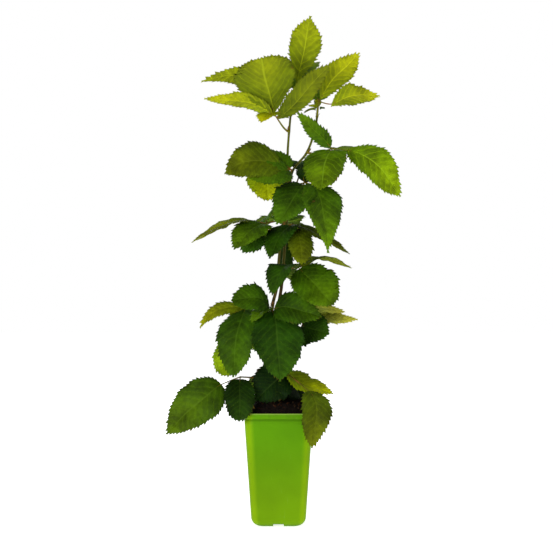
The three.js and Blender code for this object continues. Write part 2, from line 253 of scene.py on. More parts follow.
# %% [markdown]
# ## From grids to meshes
#
# A *skin* is one closed body: a stack of rings of equally many points, joined by four-sided faces
# and closed by a cap at each end. A piece is many skins in one mesh, because Blender is happier
# with a few large meshes than with hundreds of small ones.
#
# Three things travel with the points: `place` says where a point lies on its leaf, `tone` is the
# plain colour that its skin was dealt, and the UV map gives each skin its own rectangle.

# %% Skins and pieces
UV_RIM = 0.004


def skin(rings, tone, left, right, place=(0, 0, 0)):
    """One closed body: rings is rows by columns by 3, and left and right give each face's UVs."""
    rows, columns = rings.shape[:2]
    place = np.broadcast_to(place, (rows, columns, 3))
    tone = np.broadcast_to(np.array([*tone, 1.0]), (rows, columns, 4))
    return {"rings": rings, "place": place, "tone": tone, "left": left, "right": right}


def skin_faces(one, start):
    """The quads between rings and the two caps, as point numbers, turned to face outwards.

    A closed body's volume is the sum over its triangles of a . (b x c) / 6. Where that comes out
    negative the body is inside out, and every face is read backwards.
    """
    rows, columns = one["rings"].shape[:2]
    row = np.arange(rows - 1)[:, None] * columns
    column = np.arange(columns)
    after = (column + 1) % columns
    quads = np.stack([row + column, row + after, row + columns + after, row + columns + column], -1)
    uvs = np.stack([one["left"][:-1], one["right"][:-1], one["right"][1:], one["left"][1:]], 2)
    quads = quads.reshape(-1, 4)
    uvs = uvs.reshape(-1, 4, 2)
    points = one["rings"].reshape(-1, 3)
    points = points - points.mean(0)
    a, b, c, d = (points[quads[:, i]] for i in range(4))
    volume = (a * np.cross(b, c)).sum() + (a * np.cross(c, d)).sum()
    bottom = np.arange(columns)[::-1]
    top = (rows - 1) * columns + np.arange(columns)
    caps = [(bottom, one["left"][0][::-1]), (top, one["left"][-1])]
    if volume < 0:
        quads, uvs = quads[:, ::-1], uvs[:, ::-1]
        caps = [(ring[::-1], uv[::-1]) for ring, uv in caps]
    return quads + start, uvs, [(ring + start, uv) for ring, uv in caps]


def make_piece(name, skins, material, nodes):
    """One mesh object from many skins, which stands for the given nodes of the plain model."""
    faces, uvs, start = [], [], 0
    for one in skins:
        quads, quad_uvs, caps = skin_faces(one, start)
        faces += quads.tolist() + [ring.tolist() for ring, _ in caps]
        uvs += [quad_uvs.reshape(-1, 2)] + [uv for _, uv in caps]
        start += one["rings"].shape[0] * one["rings"].shape[1]
    points = np.concatenate([one["rings"].reshape(-1, 3) for one in skins]) * MM
    mesh = bpy.data.meshes.new(name)
    mesh.from_pydata(points.tolist(), [], faces)
    mesh.polygons.foreach_set("use_smooth", np.ones(len(faces), bool))
    uv_map = mesh.uv_layers.new(name="OFBake")
    uv_map.data.foreach_set("uv", np.concatenate(uvs).astype(np.float32).ravel())
    for key, kind, field in [("place", "FLOAT_VECTOR", "vector"), ("tone", "FLOAT_COLOR", "color")]:
        values = np.concatenate([one[key].reshape(-1, one[key].shape[-1]) for one in skins])
        attribute = mesh.attributes.new(key, kind, "POINT")
        attribute.data.foreach_set(field, values.astype(np.float32).ravel())
    mesh.materials.append(material)
    piece = bpy.data.objects.new(name, mesh)
    scene.collection.objects.link(piece)
    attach(piece, "root")
    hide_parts(*nodes)


def cells(count, across):
    """Equal rectangles that fill the UV square, as (x, y, width, height), with a small rim."""
    down = math.ceil(count / across)
    width, height = 1 / across - 2 * UV_RIM, 1 / down - 2 * UV_RIM
    return [
        (i % across / across + UV_RIM, i // across / down + UV_RIM, width, height)
        for i in range(count)
    ]


WHOLE_SQUARE = cells(1, 1)[0]
print("a lone skin's UV cell", WHOLE_SQUARE)

# %% [markdown]
# ## Tubes
#
# Canes and leaf stalks are circles carried along a path. A *Curve* object with a bevel would do it
# too, but then the bark could not bulge at each leaf. Here the path's direction and one fixed
# direction give two axes, and each ring is placed on them.

# %% Paths and tubes
SPAN_POINTS = 60
FIXED_WAY = (0.13, -0.95, 0.29)


def catmull_rom(points, count):
    """Points spread evenly along a smooth curve through the given ones.

    Between two points the curve is a cubic whose end slopes come from the neighbours, and the
    parameter of each span is the square root of its length, which keeps tight bends tight.
    """
    points = np.array(points, float)
    points = np.vstack([2 * points[0] - points[1], points, 2 * points[-1] - points[-2]])
    fine = np.linspace(0, 1, SPAN_POINTS, endpoint=False)[:, None]
    spans = []
    for before, a, b, after in zip(points, points[1:], points[2:], points[3:]):
        d0, d1, d2 = (np.linalg.norm(q - p) ** 0.5 for p, q in ((before, a), (a, b), (b, after)))
        slope_a = ((a - before) / d0 - (b - before) / (d0 + d1) + (b - a) / d1) * d1
        slope_b = ((b - a) / d1 - (after - a) / (d1 + d2) + (after - b) / d2) * d1
        square = -3 * a + 3 * b - 2 * slope_a - slope_b
        cube = 2 * a - 2 * b + slope_a + slope_b
        spans.append(a + slope_a * fine + square * fine**2 + cube * fine**3)
    return spread_evenly(np.vstack([*spans, points[-2:-1]]), count)


def spread_evenly(line, count):
    """The same line with its points at equal distances, read off against its length."""
    step = np.linalg.norm(np.diff(line, axis=0), axis=1)
    length = np.concatenate([[0], np.cumsum(step)])
    want = np.linspace(0, length[-1], count)
    return np.stack([np.interp(want, length, line[:, i]) for i in range(3)], 1)


def bezier(a, b, c, d, count):
    """A cubic curve from a to d that leaves towards b and arrives from c."""
    t = np.linspace(0, 1, count)[:, None]
    s = 1 - t
    return s**3 * a + 3 * s**2 * t * b + 3 * s * t**2 * c + t**3 * d


def grid_uvs(along, around, cell):
    """UVs of a rolled-up grid laid out flat in its cell: each face's left and right corners."""
    x, y, width, height = cell
    turn = np.arange(around + 1) / around
    uv = np.stack(np.broadcast_arrays(x + width * along[:, None], y + height * turn), -1)
    return uv[:, :-1], uv[:, 1:]


def tube(path, radius, around, cell, tone):
    """A round skin along a path: centre + radius * (side * cos + up * sin) at each ring's angles.

    The radius is one number for each row, or a grid of rows by columns for relief.
    """
    way = np.gradient(path, axis=0)
    way /= np.linalg.norm(way, axis=1, keepdims=True)
    side = np.cross(way, FIXED_WAY)
    side /= np.linalg.norm(side, axis=1, keepdims=True)
    up = np.cross(side, way)
    angle = np.arange(around) / around * 2 * np.pi
    spread = radius[:, None] if radius.ndim == 1 else radius
    spokes = side[:, None] * np.cos(angle)[:, None] + up[:, None] * np.sin(angle)[:, None]
    rings = path[:, None] + spokes * spread[..., None]
    return skin(rings, tone, *grid_uvs(np.linspace(0, 1, len(path)), around, cell))


print("a tube's rings start from the direction", FIXED_WAY)

# %% [markdown]
# ## The two canes
#
# Each cane rises from a flat cut on the soil and leans through a few known places. It is kept as a
# dense line of points, so that a leaf can look up where it is at a height and which way it runs.

# %% Cane courses
SOIL_TOP = 183
CLEARANCE = 0.3
CANE_FOOT_RADIUS = 2.9
CANE_TIP_RADIUS = 1.5
CANE_POINTS = 500

CANE_PLACES = {
    "left": [
        (-6, -5, 193), (-10, -6, 319), (-3, -6, 352), (1, -6, 398),
        (13, -6, 503), (14, -5, 559), (20, -4, 631),
    ],
    "right": [
        (6, 6, 193), (0, 7, 319), (5, 7, 359), (17, 7, 506),
        (22, 6, 529), (43, 3, 556), (56, 0, 596), (59, 0, 625),
    ],
}


# A centre line runs straight up from the soil and then through its places.
CANES = {
    name: catmull_rom([(*places[0][:2], SOIL_TOP + CLEARANCE), *places], CANE_POINTS)
    for name, places in CANE_PLACES.items()
}


def cane_radius(share):
    """The radius without its relief, at a share of the way from the foot to the tip."""
    return CANE_FOOT_RADIUS + (CANE_TIP_RADIUS - CANE_FOOT_RADIUS) * share


def cane_at(cane, height):
    """The cane's point, direction and radius at a height, read between the dense points."""
    line = CANES[cane]
    point = np.array([np.interp(height, line[:, 2], line[:, i]) for i in range(3)])
    way = np.gradient(line, axis=0)
    along = np.array([np.interp(height, line[:, 2], way[:, i]) for i in range(3)])
    share = np.interp(height, line[:, 2], np.linspace(0, 1, len(line)))
    return point, along / np.linalg.norm(along), cane_radius(share)


print("cane tips at", [line[-1].round(0).tolist() for line in CANES.values()])

# %% [markdown]
# ## Where the leaves grow
#
# A bramble leaf has one stalk, and a few leaflets that spread from its end, the hub. Each leaf
# below names its cane, the height it grows from and its hub. Each of its leaflets has its tip as
# seen from the hub, its width, both in millimetres, and the colour it is dealt. Whatever else is
# given differs from the usual leaflet:
#
# - `stalk` is where its blade begins, and `face` is the way its upper side looks.
# - `arch`, `sweep` and `skew` bow its middle line up, sideways and nearer to the foot.
# - `foot` and `point` say how bluntly the blade begins and ends, and `fold` how steeply its halves
#   rise from the midrib.

# %% Leaf table
UP = (0, 0, 1)
BACK = (0, 1, 0.3)
FRONT = (0, -1, 0.4)
USUAL = dict(stalk=None, face=UP, arch=0.1, sweep=0, skew=0.6, foot=0.5, point=0.85, fold=0.2)


def new_leaflet(tip, wide, tone, shape=()):
    """One leaflet's values by name."""
    return {**USUAL, "tip": tip, "wide": wide, "tone": tone, **dict(shape)}


LEAVES = [
    ("leaf_crown_tip", "left", 621, (26, -5, 648),
     ((21, -30, 104), 48, "lime", dict(face=BACK, foot=1.7, point=1.1)),
     ((35, 60, 53), 42, "fresh"),
     ((-42, 65, 38), 44, "fresh")),
    ("leaf_crown_left", "left", 586, (-5, -28, 607),
     ((-20, -32, 80), 92, "spring", dict(face=BACK, sweep=0.02, foot=1, point=0.46)),
     ((-110, 16, 52), 34, "lime", dict(stalk=(-5, 9, 5), face=(0, 1.4, 1), sweep=-0.28, skew=0.3)),
     ((-105, 8, 26), 36, "yellow_lime", dict(face=(0, 0.6, 1))),
     ((-20, -52, -17), 32, "yellow_lime"),
     ((80, -18, 72), 37, "moss",
      dict(stalk=(3, 2, -5), face=(-0.3, 0.9, 0.6), arch=-0.04, foot=0.8))),
    ("leaf_crown_right", "right", 609, (60, -8, 631),
     ((59, -28, 67), 43, "yellow_lime", dict(face=(-0.3, 1, 0.5), foot=1, point=1)),
     ((88, -38, 2), 43, "yellow_lime",
      dict(stalk=(18, -8, -9), face=(0, 0.8, 1), arch=0.16, foot=1, point=1.2)),
     ((-15, 75, 25), 44, "fresh")),
    ("leaf_high_right", "right", 556, (80, -15, 559),
     ((100, -15, -72), 52, "bright", dict(stalk=(21, -5, -3), face=FRONT, sweep=-0.08, foot=0.75)),
     ((-20, -70, -66), 64, "leafy", dict(point=0.6)),
     ((-52, -5, 53), 24, "mid", dict(face=(-0.6, -0.8, 0.3), arch=-0.06)),
     ((54, 62, 0), 44, "fresh", dict(arch=0.02))),
    ("leaf_mid_left", "left", 501, (19, -38, 526),
     ((-97, -25, -9), 62, "olive",
      dict(stalk=(-14, -4, 2), face=(0, -1, 0.45), sweep=0.15, skew=0, point=0.7)),
     ((-60, -34, -17), 54, "mid", dict(face=(0, -1, 0.7), arch=0.05)),
     ((-44, 34, 34), 34, "mid", dict(face=(0, -1, 1), arch=0))),
    ("leaf_mid_behind_left", "left", 518, (-20, 22, 541),
     ((4, -14, -58), 60, "yellow", dict(face=FRONT, point=0.7)),
     ((-18, 84, 6), 50, "mid")),
    ("leaf_mid_behind_right", "right", 493, (34, 28, 529),
     ((-2, 78, 20), 36, "deep"),
     ((68, 52, 8), 44, "mid")),
    ("leaf_mid_right", "right", 506, (38, -32, 507),
     ((-41, -48, -63), 62, "dark", dict(face=(-0.2, -1, 0.6), sweep=-0.05)),
     ((33, -43, -104), 68, "mid", dict(stalk=(12, -8, -2), foot=0.6, point=1.3)),
     ((23, 25, 3), 20, "deep"),
     ((-6, 26, 24), 18, "shade")),
    ("leaf_centre_left", "right", 453, (-19, -20, 448),
     ((-108, -20, -29), 46, "gold",
      dict(stalk=(-24, -5, 4), face=(0, -0.2, 1), arch=0.07, skew=0.4)),
     ((-45, -55, -40), 54, "mid", dict(face=(0, -0.5, 1))),
     ((-34, -10, -44), 46, "deep", dict(face=FRONT)),
     ((16, 50, 18), 34, "mid", dict(face=(-0.7, 0, 0.7)))),
    ("leaf_centre_right", "left", 443, (21, -25, 447),
     ((-34, -45, -52), 52, "deep"),
     ((12, -45, -60), 38, "olive", dict(stalk=(7, -10, -8), point=0.6)),
     ((83, -20, -45), 42, "olive", dict(face=(0, -0.2, 1), arch=0.04))),
    ("leaf_centre_behind", "right", 445, (12, 42, 455),
     ((-52, 46, -10), 48, "mid"),
     ((6, 86, -8), 54, "mid"),
     ((30, 40, -50), 44, "deep"),
     ((0, -17, -82), 23, "shade", dict(stalk=(0, -5, -17), face=FRONT, point=0.5))),
    ("leaf_low_right", "right", 381, (29, -20, 383),
     ((51, -42, -55), 68, "mid", dict(face=(0.1, -1, 0.5), arch=0, point=0.6)),
     ((-38, -40, -41), 52, "deep", dict(arch=0.27)),
     ((81, 40, -1), 52, "gold", dict(arch=0.14))),
    ("leaf_low_behind_left", "left", 361, (-8, 38, 373),
     ((36, 72, -12), 44, "mid"),
     ((62, 38, -34), 40, "mid")),
    ("leaf_low_front", "left", 325, (-10, -25, 322),
     ((12, -35, -105), 80, "deep", dict(foot=0.65, point=0.85)),
     ((-59, -25, 12), 50, "dark", dict(face=(0, -1, 0.8), arch=0.15, sweep=0.1, point=0.6)),
     ((73, -20, -12), 49, "dark", dict(face=FRONT, sweep=-0.04)),
     ((-29, -35, -19), 30, "mid")),
    ("leaf_low_left", "left", 308, (-48, -15, 325),
     ((-18, -45, -102), 60, "dark", dict(point=0.65)),
     ((-42, 25, -103), 50, "bright", dict(stalk=(0, 14, -40), face=FRONT, point=0.5)),
     ((-68, -5, -33), 26, "moss", dict(face=(0, -1, 1), sweep=0.15, skew=-0.3))),
    ("leaf_low_behind_right", "right", 303, (33, 25, 315),
     ((43, -25, -32), 58, "deep", dict(stalk=(2, -4, -20), face=FRONT, sweep=0.05)),
     ((69, 15, 0), 32, "straw", dict(face=(0, -0.6, 1))),
     ((87, -5, -11), 36, "straw", dict(face=(0, -0.6, 1), arch=-0.06))),
    ("leaf_lower_behind", "right", 265, (-2, 45, 283),
     ((-38, 56, -30), 52, "mid"),
     ((10, 84, -28), 58, "mid", dict(sweep=0.06)),
     ((44, 44, -14), 42, "mid")),
    ("leaf_foot_left", "left", 218, (-57, -20, 220),
     ((-108, -15, -83), 66, "forest", dict(stalk=(-28, -5, -10), face=(-0.1, -1, 0.3))),
     ((0, -42, -61), 45, "shade", dict(point=0.5))),
    ("leaf_foot_right", "right", 218, (10, -15, 227),
     ((71, -15, -31), 45, "lime", dict(face=(0.3, -0.6, 1), arch=-0.08)),
     ((38, -51, -106), 44, "olive", dict(stalk=(36, -35, -25), sweep=-0.08)),
     ((-43, -16, -41), 62, "night", dict(face=FRONT)),
     # Painted shade: a dark leaflet put where the soil under the lowest leaves lies in shadow.
     ((24, 19, -41), 37, "ink", dict(face=FRONT, foot=1.5, point=0.9))),
    ("leaf_foot_behind", "left", 208, (-8, 40, 219),
     ((-38, 44, -34), 42, "mid"),
     ((8, 78, -20), 48, "mid", dict(sweep=-0.05)),
     ((44, 46, -40), 46, "deep"),
     # Painted shade: a dark leaflet put where the soil under the lowest leaves lies in shadow.
     ((36, -14, -28), 44, "ink", dict(face=FRONT))),
]
print(len(LEAVES), "leaves with", sum(len(row) - 4 for row in LEAVES), "leaflets")

# %% [markdown]
# ## Plain colours
#
# Each leaflet, stalk and bud is dealt one plain colour, as its red, green and blue light. The
# materials then vary it over the surface. The three darkest leaf colours are painted shade: they
# stand for the shadow under the canopy, on leaflets that lie in it and on a few dark leaflets
# placed only to fill it.

# %% Plain colours
TONES = {
    "yellow": (0.30, 0.39, 0.001),
    "yellow_lime": (0.285, 0.325, 0.001),
    "lime": (0.23, 0.29, 0.001),
    "spring": (0.165, 0.208, 0.001),
    "bright": (0.15, 0.26, 0.001),
    "fresh": (0.115, 0.205, 0.001),
    "leafy": (0.08, 0.158, 0.001),
    "mid": (0.052, 0.118, 0.001),
    "forest": (0.042, 0.088, 0.001),
    "dark": (0.030, 0.080, 0.001),
    "deep": (0.0155, 0.054, 0.001),
    # These three are painted shade, for leaflets in the shadow under the canopy.
    "shade": (0.008, 0.028, 0.001),
    "night": (0.003, 0.015, 0.001),
    "ink": (0.0015, 0.007, 0.001),
    "gold": (0.155, 0.20, 0.001),
    "olive": (0.07, 0.10, 0.001),
    "moss": (0.125, 0.155, 0.001),
    "straw": (0.40, 0.45, 0.05),
    "stalk": (0.09, 0.09, 0.004),
    "young_stalk": (0.15, 0.145, 0.004),
    "bud": (0.17, 0.10, 0.01),
    "cane": (0.15, 0.14, 0.012),
}
print(len(TONES), "plain colours")

# %% [markdown]
# ## The leaflet's middle line
#
# A leaflet's middle line runs straight from the foot of the blade to the tip and is then bowed,
# towards the upper side and sideways. The bow is a parabola, leaned towards the foot by the skew,
# so that a leaflet rises quickly from the hub and droops to its tip.

# %% Leaflet axes
SHORT_STALK = 4


def unit(vector):
    return vector / np.linalg.norm(vector)


def leaflet_axes(hub, leaflet):
    """The foot of the blade, its length, and the ways along it, across it and out of its face."""
    tip = np.array(leaflet["tip"], float)
    base = hub + (leaflet["stalk"] or unit(tip) * SHORT_STALK)
    run = hub + tip - base
    length = np.linalg.norm(run)
    along = run / length
    face = np.array(leaflet["face"], float)
    out = unit(face - face.dot(along) * along)
    return base, length, along, np.cross(along, out), out


def middle_line(share, base, length, along, across, out, leaflet):
    """base + along * length * u, bowed by 4u(1 - u)(1 + skew(1 - 2u)) outwards and across."""
    share = np.asarray(share, float)[..., None]
    bow = 4 * share * (1 - share) * (1 + leaflet["skew"] * (1 - 2 * share))
    lift = out * leaflet["arch"] + across * leaflet["sweep"]
    return base + along * length * share + lift * length * bow


print("short stalks are", SHORT_STALK, "mm long")

# %% [markdown]
# ## The blade
#
# What makes a bramble leaf is its edge, with large and small teeth in turn that lean towards the
# tip, and its quilting: between the veins it bulges upwards. Both could be painted on, but a
# painted edge stays smooth against the background, so the teeth and the bulges are real here.
#
# Rows are counted along the edge, not along the midrib, so that a blunt tip gets as many teeth as a
# long side. Each tooth takes four rows, bunched where it falls back sharply. The columns are
# bunched at the midrib and at the edge.

# %% Blade outline
TOOTH_PITCH = 5.6
TOOTH_LIMITS = (6, 34)
TOOTH_PHASES = np.array([0, 0.38, 0.72, 0.92])
EDGE_SAMPLES = 800
BODY_END = 0.975
TIP_WIDTH = 0.22
LEAST_HALF_WIDTH = 0.25
LOBE_MEAN = 0.955
LOBE_SIZE = 0.022
HALF_COLUMNS = np.array([0.04, 0.11, 0.24, 0.4, 0.56, 0.71, 0.84, 0.94, 1])
# Each column's share of the half width: -1 at the left edge, 0 on the midrib and 1 at the right.
COLUMNS = np.concatenate([-HALF_COLUMNS[::-1], [0], HALF_COLUMNS])[None, :]
SIDE = np.sign(COLUMNS)
AT_EDGE = np.abs(COLUMNS) ** 7


def smooth_step(low, high, x):
    """0 below low, 1 above high, and 3t^2 - 2t^3 between."""
    t = np.clip((x - low) / (high - low), 0, 1)
    return t * t * (3 - 2 * t)


def half_width(share, leaflet, length):
    """wide / 2 times u^foot (1 - u)^point scaled to a peak of 1, with a narrow drawn-out tip."""
    foot, point = leaflet["foot"], leaflet["point"]
    peak = foot / (foot + point)
    u = np.clip(share / BODY_END, 0, 1)
    body = (u**foot * (1 - u) ** point) / (peak**foot * (1 - peak) ** point)
    tip = TIP_WIDTH * length * (1 - share) * smooth_step(0.5, 0.9, share)
    return np.maximum(leaflet["wide"] / 2 * body, tip)


def edge_rows(leaflet, length):
    """Rows spaced evenly along the edge: shares of the length, tooth numbers, phases and pitch."""
    fine = np.linspace(0, 1, EDGE_SAMPLES)
    reach = half_width(fine, leaflet, length)
    run = np.append(0, np.cumsum(np.hypot(np.diff(fine) * length, np.diff(reach))))
    teeth = int(np.clip(round(run[-1] / TOOTH_PITCH), *TOOTH_LIMITS))
    number = np.append(np.repeat(np.arange(teeth), len(TOOTH_PHASES)), teeth)
    phase = np.append(np.tile(TOOTH_PHASES, teeth), 0)
    share = np.interp((number + phase) / teeth * run[-1], run, fine)
    return share[:, None], number, phase[:, None], run[-1] / teeth


def lobed_half_width(share, leaflet, length, turn):
    """The half width of each side of a blade, which swells and shrinks a little along the edge."""
    lobes = np.sin(2 * np.pi * 2.1 * share + turn[3] + 2.2 * SIDE)
    lobes = lobes + np.sin(2 * np.pi * 4.3 * share + turn[4] + SIDE)
    half = half_width(share, leaflet, length) * (LOBE_MEAN + LOBE_SIZE * lobes)
    return np.maximum(half, LEAST_HALF_WIDTH)


print("a blade has a tooth every", TOOTH_PITCH, "mm")

# %% [markdown]
# A tooth moves the outermost columns outwards and towards the tip. Everything else about the blade
# is a height out of its face: the fold along the midrib, the quilting, the waves of the edge, and
# on the underside the ribs. Lengths are in millimetres, and the waves are shares of the half width.

# %% Blade relief
TOOTH_DEPTH = 0.6
TOOTH_LEAN = 0.35
TOOTH_SIZES = (0.7, 1.25)
SMALL_TOOTH = 0.32
VEIN_PAIRS = 9
VEIN_SLANT = 0.95
QUILT_HEIGHT = 1.7
WAVE = 0.045
RUFFLE = 0.03
DROOP = 0.10
DROOP_SIZES = (0.3, 1.4)
WANDER = 0.012
BLADE_SKIN = 0.45
GROOVE_DEPTH = 0.35
RIB_HEIGHT = 0.9
RIB_WIDTH = 0.8
SIDE_RIB_HEIGHT = 0.3


def tooth_moves(rng, rows, half, length):
    """How far each point moves along and across the leaflet for the tooth that it lies on."""
    share, number, phase, pitch = rows
    last = number.max()
    every_second = SMALL_TOOTH * (np.arange(last + 1) % 2)
    sizes = (rng.uniform(*TOOTH_SIZES, (last + 1, 2)) * (1 - every_second)[:, None])[number]
    size = TOOTH_DEPTH * pitch * np.where(COLUMNS < 0, sizes[:, :1], sizes[:, 1:])
    size = size * smooth_step(-1, 3, number[:, None]) * smooth_step(0, 1.5, last - number[:, None])
    tooth = size * phase / TOOTH_PHASES[-1] * AT_EDGE
    # The edge's own direction: forwards along the leaflet and sideways away from the midrib.
    forward, sideways = np.gradient(share[:, 0] * length), np.gradient(half[:, -1])
    stretch = np.hypot(forward, sideways) + 1e-9
    forward, sideways = (forward / stretch)[:, None], (sideways / stretch)[:, None]
    return tooth * (TOOTH_LEAN * forward - sideways), tooth * (forward + TOOTH_LEAN * sideways)


def two_sides(rng, leaflet, share, vein, half, length, turn):
    """The heights of the upper and the lower side out of the blade's plane."""
    v = COLUMNS
    fold = leaflet["fold"] * half * (np.sqrt(v**2 + 0.01) - 0.1)
    plump = np.abs(np.sin(np.pi * vein)) ** 0.8 * smooth_step(0, 0.18, np.abs(v)) * (1 - v**6)
    quilt = QUILT_HEIGHT * plump * smooth_step(2, 14, half) * length / 100
    swings = np.sin(2 * np.pi * 2.6 * share + turn[0] + v) + np.sin(9 * share + turn[1])
    wave = WAVE * half * v**2 * swings
    ruffle = RUFFLE * half * v**4 * np.sin(2 * np.pi * 5.2 * share + turn[5] + 2 * SIDE)
    droop = -DROOP * half * v**4 * rng.uniform(*DROOP_SIZES)
    level = fold + quilt + wave + ruffle + droop
    near_midrib = np.exp(-((half * v / RIB_WIDTH) ** 2))
    rib = RIB_HEIGHT * (1 - 0.8 * share) * near_midrib
    side_rib = SIDE_RIB_HEIGHT * (1 - plump) * smooth_step(0.1, 0.2, np.abs(v)) * (1 - v**6)
    thick = BLADE_SKIN * (1 - 0.6 * AT_EDGE) / 2
    return level - GROOVE_DEPTH * near_midrib + thick, level - rib - side_rib - thick


def there_and_back(over, under):
    """A ring's values: over the upper side from edge to edge, and back along the lower side."""
    return np.concatenate([over, under[:, ::-1]], 1)


def blade_uvs(share, two_cells):
    """The upper side laid flat in one cell and the lower side in another."""
    sides = []
    for x, y, width, height in two_cells:
        across = y + height * (COLUMNS + 1) / 2
        sides.append(np.stack(np.broadcast_arrays(x + width * share, across), -1))
    left = there_and_back(*sides)
    right = np.roll(left, -1, axis=1)
    # The thin edge between the two sides has no width of its own in the UV map.
    for column in (COLUMNS.size - 1, 2 * COLUMNS.size - 1):
        right[:, column] = left[:, column]
    return left, right


print("a blade has", VEIN_PAIRS, "pairs of side veins")

# %% Blade
SEED_WEIGHTS = [3, 7, 11, 13, 17, 19]


def blade(hub, leaflet, two_cells):
    """A leaflet's blade as one skin, whose rings run over the upper side and back along the lower.

    A point is the middle line + across * (half width * v + wander) + out * height, moved by its
    tooth. Side veins leave the midrib at about 45 degrees, so they are counted on slanted lines.
    """
    # The seed is made from the leaflet's place, so that each has its own waves in every run.
    rng = np.random.default_rng(int(np.abs(np.dot([*hub, *leaflet["tip"]], SEED_WEIGHTS)) * 10))
    axes = leaflet_axes(hub, leaflet)
    length, along, across, out = axes[1:]
    rows = edge_rows(leaflet, length)
    share = rows[0]
    turn = rng.uniform(0, 2 * np.pi, 7)
    half = lobed_half_width(share, leaflet, length, turn)
    vein = VEIN_PAIRS * (share - VEIN_SLANT * np.abs(COLUMNS) ** 1.15 * half / length)
    tooth_along, tooth_across = tooth_moves(rng, rows, half, length)
    wander = WANDER * length * np.sin(2 * np.pi * share + turn[2]) * share * (1 - share) * 4
    upper, lower = two_sides(rng, leaflet, share, vein, half, length, turn)

    flat = middle_line(share[:, 0], *axes, leaflet)[:, None]
    flat = flat + across * (half * COLUMNS + SIDE * tooth_across + wander)[..., None]
    flat = flat + along * tooth_along[..., None]
    rings = there_and_back(flat + out * upper[..., None], flat + out * lower[..., None])
    # Where a point lies: veins up the leaflet, share of the half width, and 1 on the underside.
    side = np.broadcast_to(COLUMNS, vein.shape)
    over, under = (np.stack([vein, side, np.full_like(vein, low)], -1) for low in (0, 1))
    tone = np.array(TONES[leaflet["tone"]]) * rng.uniform(0.93, 1.07)
    return skin(rings, tone, *blade_uvs(share, two_cells), there_and_back(over, under))


print("a blade's ring has", 2 * COLUMNS.size, "points")

# %% [markdown]
# ## Stalks
#
# The common stalk leaves the cane squarely, from a slightly swollen foot, and curves to the hub. A
# short stalk joins each leaflet to the hub and runs on into its midrib. At the foot of the common
# stalk sit two thread-like stipules and a bud.

# %% Stalk grids
PETIOLE_FOOT_RADIUS = 1.5
PETIOLE_TIP_RADIUS = 1.0
PETIOLE_STRAIGHT = 0.25
PETIOLE_BEND = 0.6
PETIOLE_SAG = 0.05
PETIOLE_ROOT = 2.2
PETIOLE_ROWS = 44
STALKLET_RADIUS = 0.95
STALKLET_ROWS = 14
ON_RIB = 7
STIPULE_ROWS = 9
BUD_ROWS = 12


def petiole(cane, height, hub, cell, tone):
    """A cubic curve from cane to hub, sunk a little into the bark and flared at its foot."""
    point, along, radius = cane_at(cane, height)
    outward = hub - point
    outward = unit(outward - outward.dot(along) * along)
    start = point + outward * (radius + CLEARANCE)
    reach = np.linalg.norm(hub - start)
    leaving = start + outward * reach * PETIOLE_STRAIGHT
    guide = start + (hub - start) * PETIOLE_BEND + outward * reach * PETIOLE_SAG
    line = bezier(start, leaving, guide, hub, 40)
    line = spread_evenly(np.vstack([start - outward * PETIOLE_ROOT, line]), PETIOLE_ROWS)
    share = np.linspace(0, 1, PETIOLE_ROWS)
    girth = PETIOLE_FOOT_RADIUS + (PETIOLE_TIP_RADIUS - PETIOLE_FOOT_RADIUS) * share
    girth = girth + 0.9 * np.exp(-((share * reach / 4) ** 2))
    girth = girth + 0.25 * np.exp(-(((1 - share) * reach / 2) ** 2))
    return tube(line, girth, 10, cell, tone), start, outward, along


def stalklet(hub, leaflet, cell, tone):
    """A curve from the hub through the foot of the blade to a little way up its midrib."""
    axes = leaflet_axes(hub, leaflet)
    base, length, out = axes[0], axes[1], axes[4]
    on_rib = middle_line([ON_RIB / length], *axes, leaflet)[0] - out * 0.3
    t = np.linspace(0, 1, STALKLET_ROWS)[:, None]
    line = (1 - t) ** 2 * hub + 2 * (1 - t) * t * base + t**2 * on_rib
    return tube(line, STALKLET_RADIUS * (1 - 0.35 * t[:, 0] ** 2), 8, cell, tone)


def stipule(start, outward, along, side, cell, tone):
    """A thread that leaves the foot of the stalk sideways and curves upwards."""
    t = np.linspace(0, 1, STIPULE_ROWS)[:, None]
    sideways = np.cross(outward, along) * side
    line = start + outward * (1 + 6 * t) + sideways * 3.2 * t + along * 4.5 * t**2
    return tube(line, 0.12 + 0.42 * (1 - t[:, 0]) ** 0.7, 6, cell, tone)


def axil_bud(start, outward, along, cell, tone):
    """A pointed egg that sits in the angle between the stalk and the cane."""
    share = np.linspace(0, 1, BUD_ROWS)
    t = share[:, None]
    line = start + along * (1.2 + 6.5 * t) + outward * (1.6 * t - 0.6)
    girth = 0.15 + 1.5 * np.sin(np.pi * share**0.8) ** 0.8 * (1 - share) ** 0.2
    return tube(line, girth, 8, cell, tone)


print("stalks are", 2 * PETIOLE_FOOT_RADIUS, "mm thick at the cane")

# %% [markdown]
# ## The leaf's look
#
# Both leaf materials share one group of nodes. It reads where a point lies on its blade from the
# numbers that the grid carried along: how many veins up it is, how far from the midrib, and on
# which side. Fading on the distance to the nearest whole number draws the side veins. The dealt
# colour is then paler on the veins and underneath, and mottled a little. It is also painted with
# shade at the foot of each blade, darker and greener, and with light towards the tip, paler and
# yellower.

# %% Leaf pattern
leaf_look = bpy.data.node_groups.new("leaf_look", "ShaderNodeTree")
SOCKETS = [
    ("Vein Paleness", "INPUT", "Float"),
    ("Color", "OUTPUT", "Color"), ("Roughness", "OUTPUT", "Float"), ("Height", "OUTPUT", "Float"),
]
for name, way, kind in SOCKETS:
    leaf_look.interface.new_socket(name, in_out=way, socket_type="NodeSocket" + kind)
tree = leaf_look
given = tree.nodes.new("NodeGroupInput")
place = add_node(tree, "ShaderNodeAttribute", attribute_name="place").outputs["Vector"]
veins_up, off_middle, low_side = add_node(tree, "ShaderNodeSeparateXYZ", {"Vector": place}).outputs
off_midrib = maths(tree, "ABSOLUTE", off_middle)
underneath = fade(tree, low_side, 0.4, 0.6)

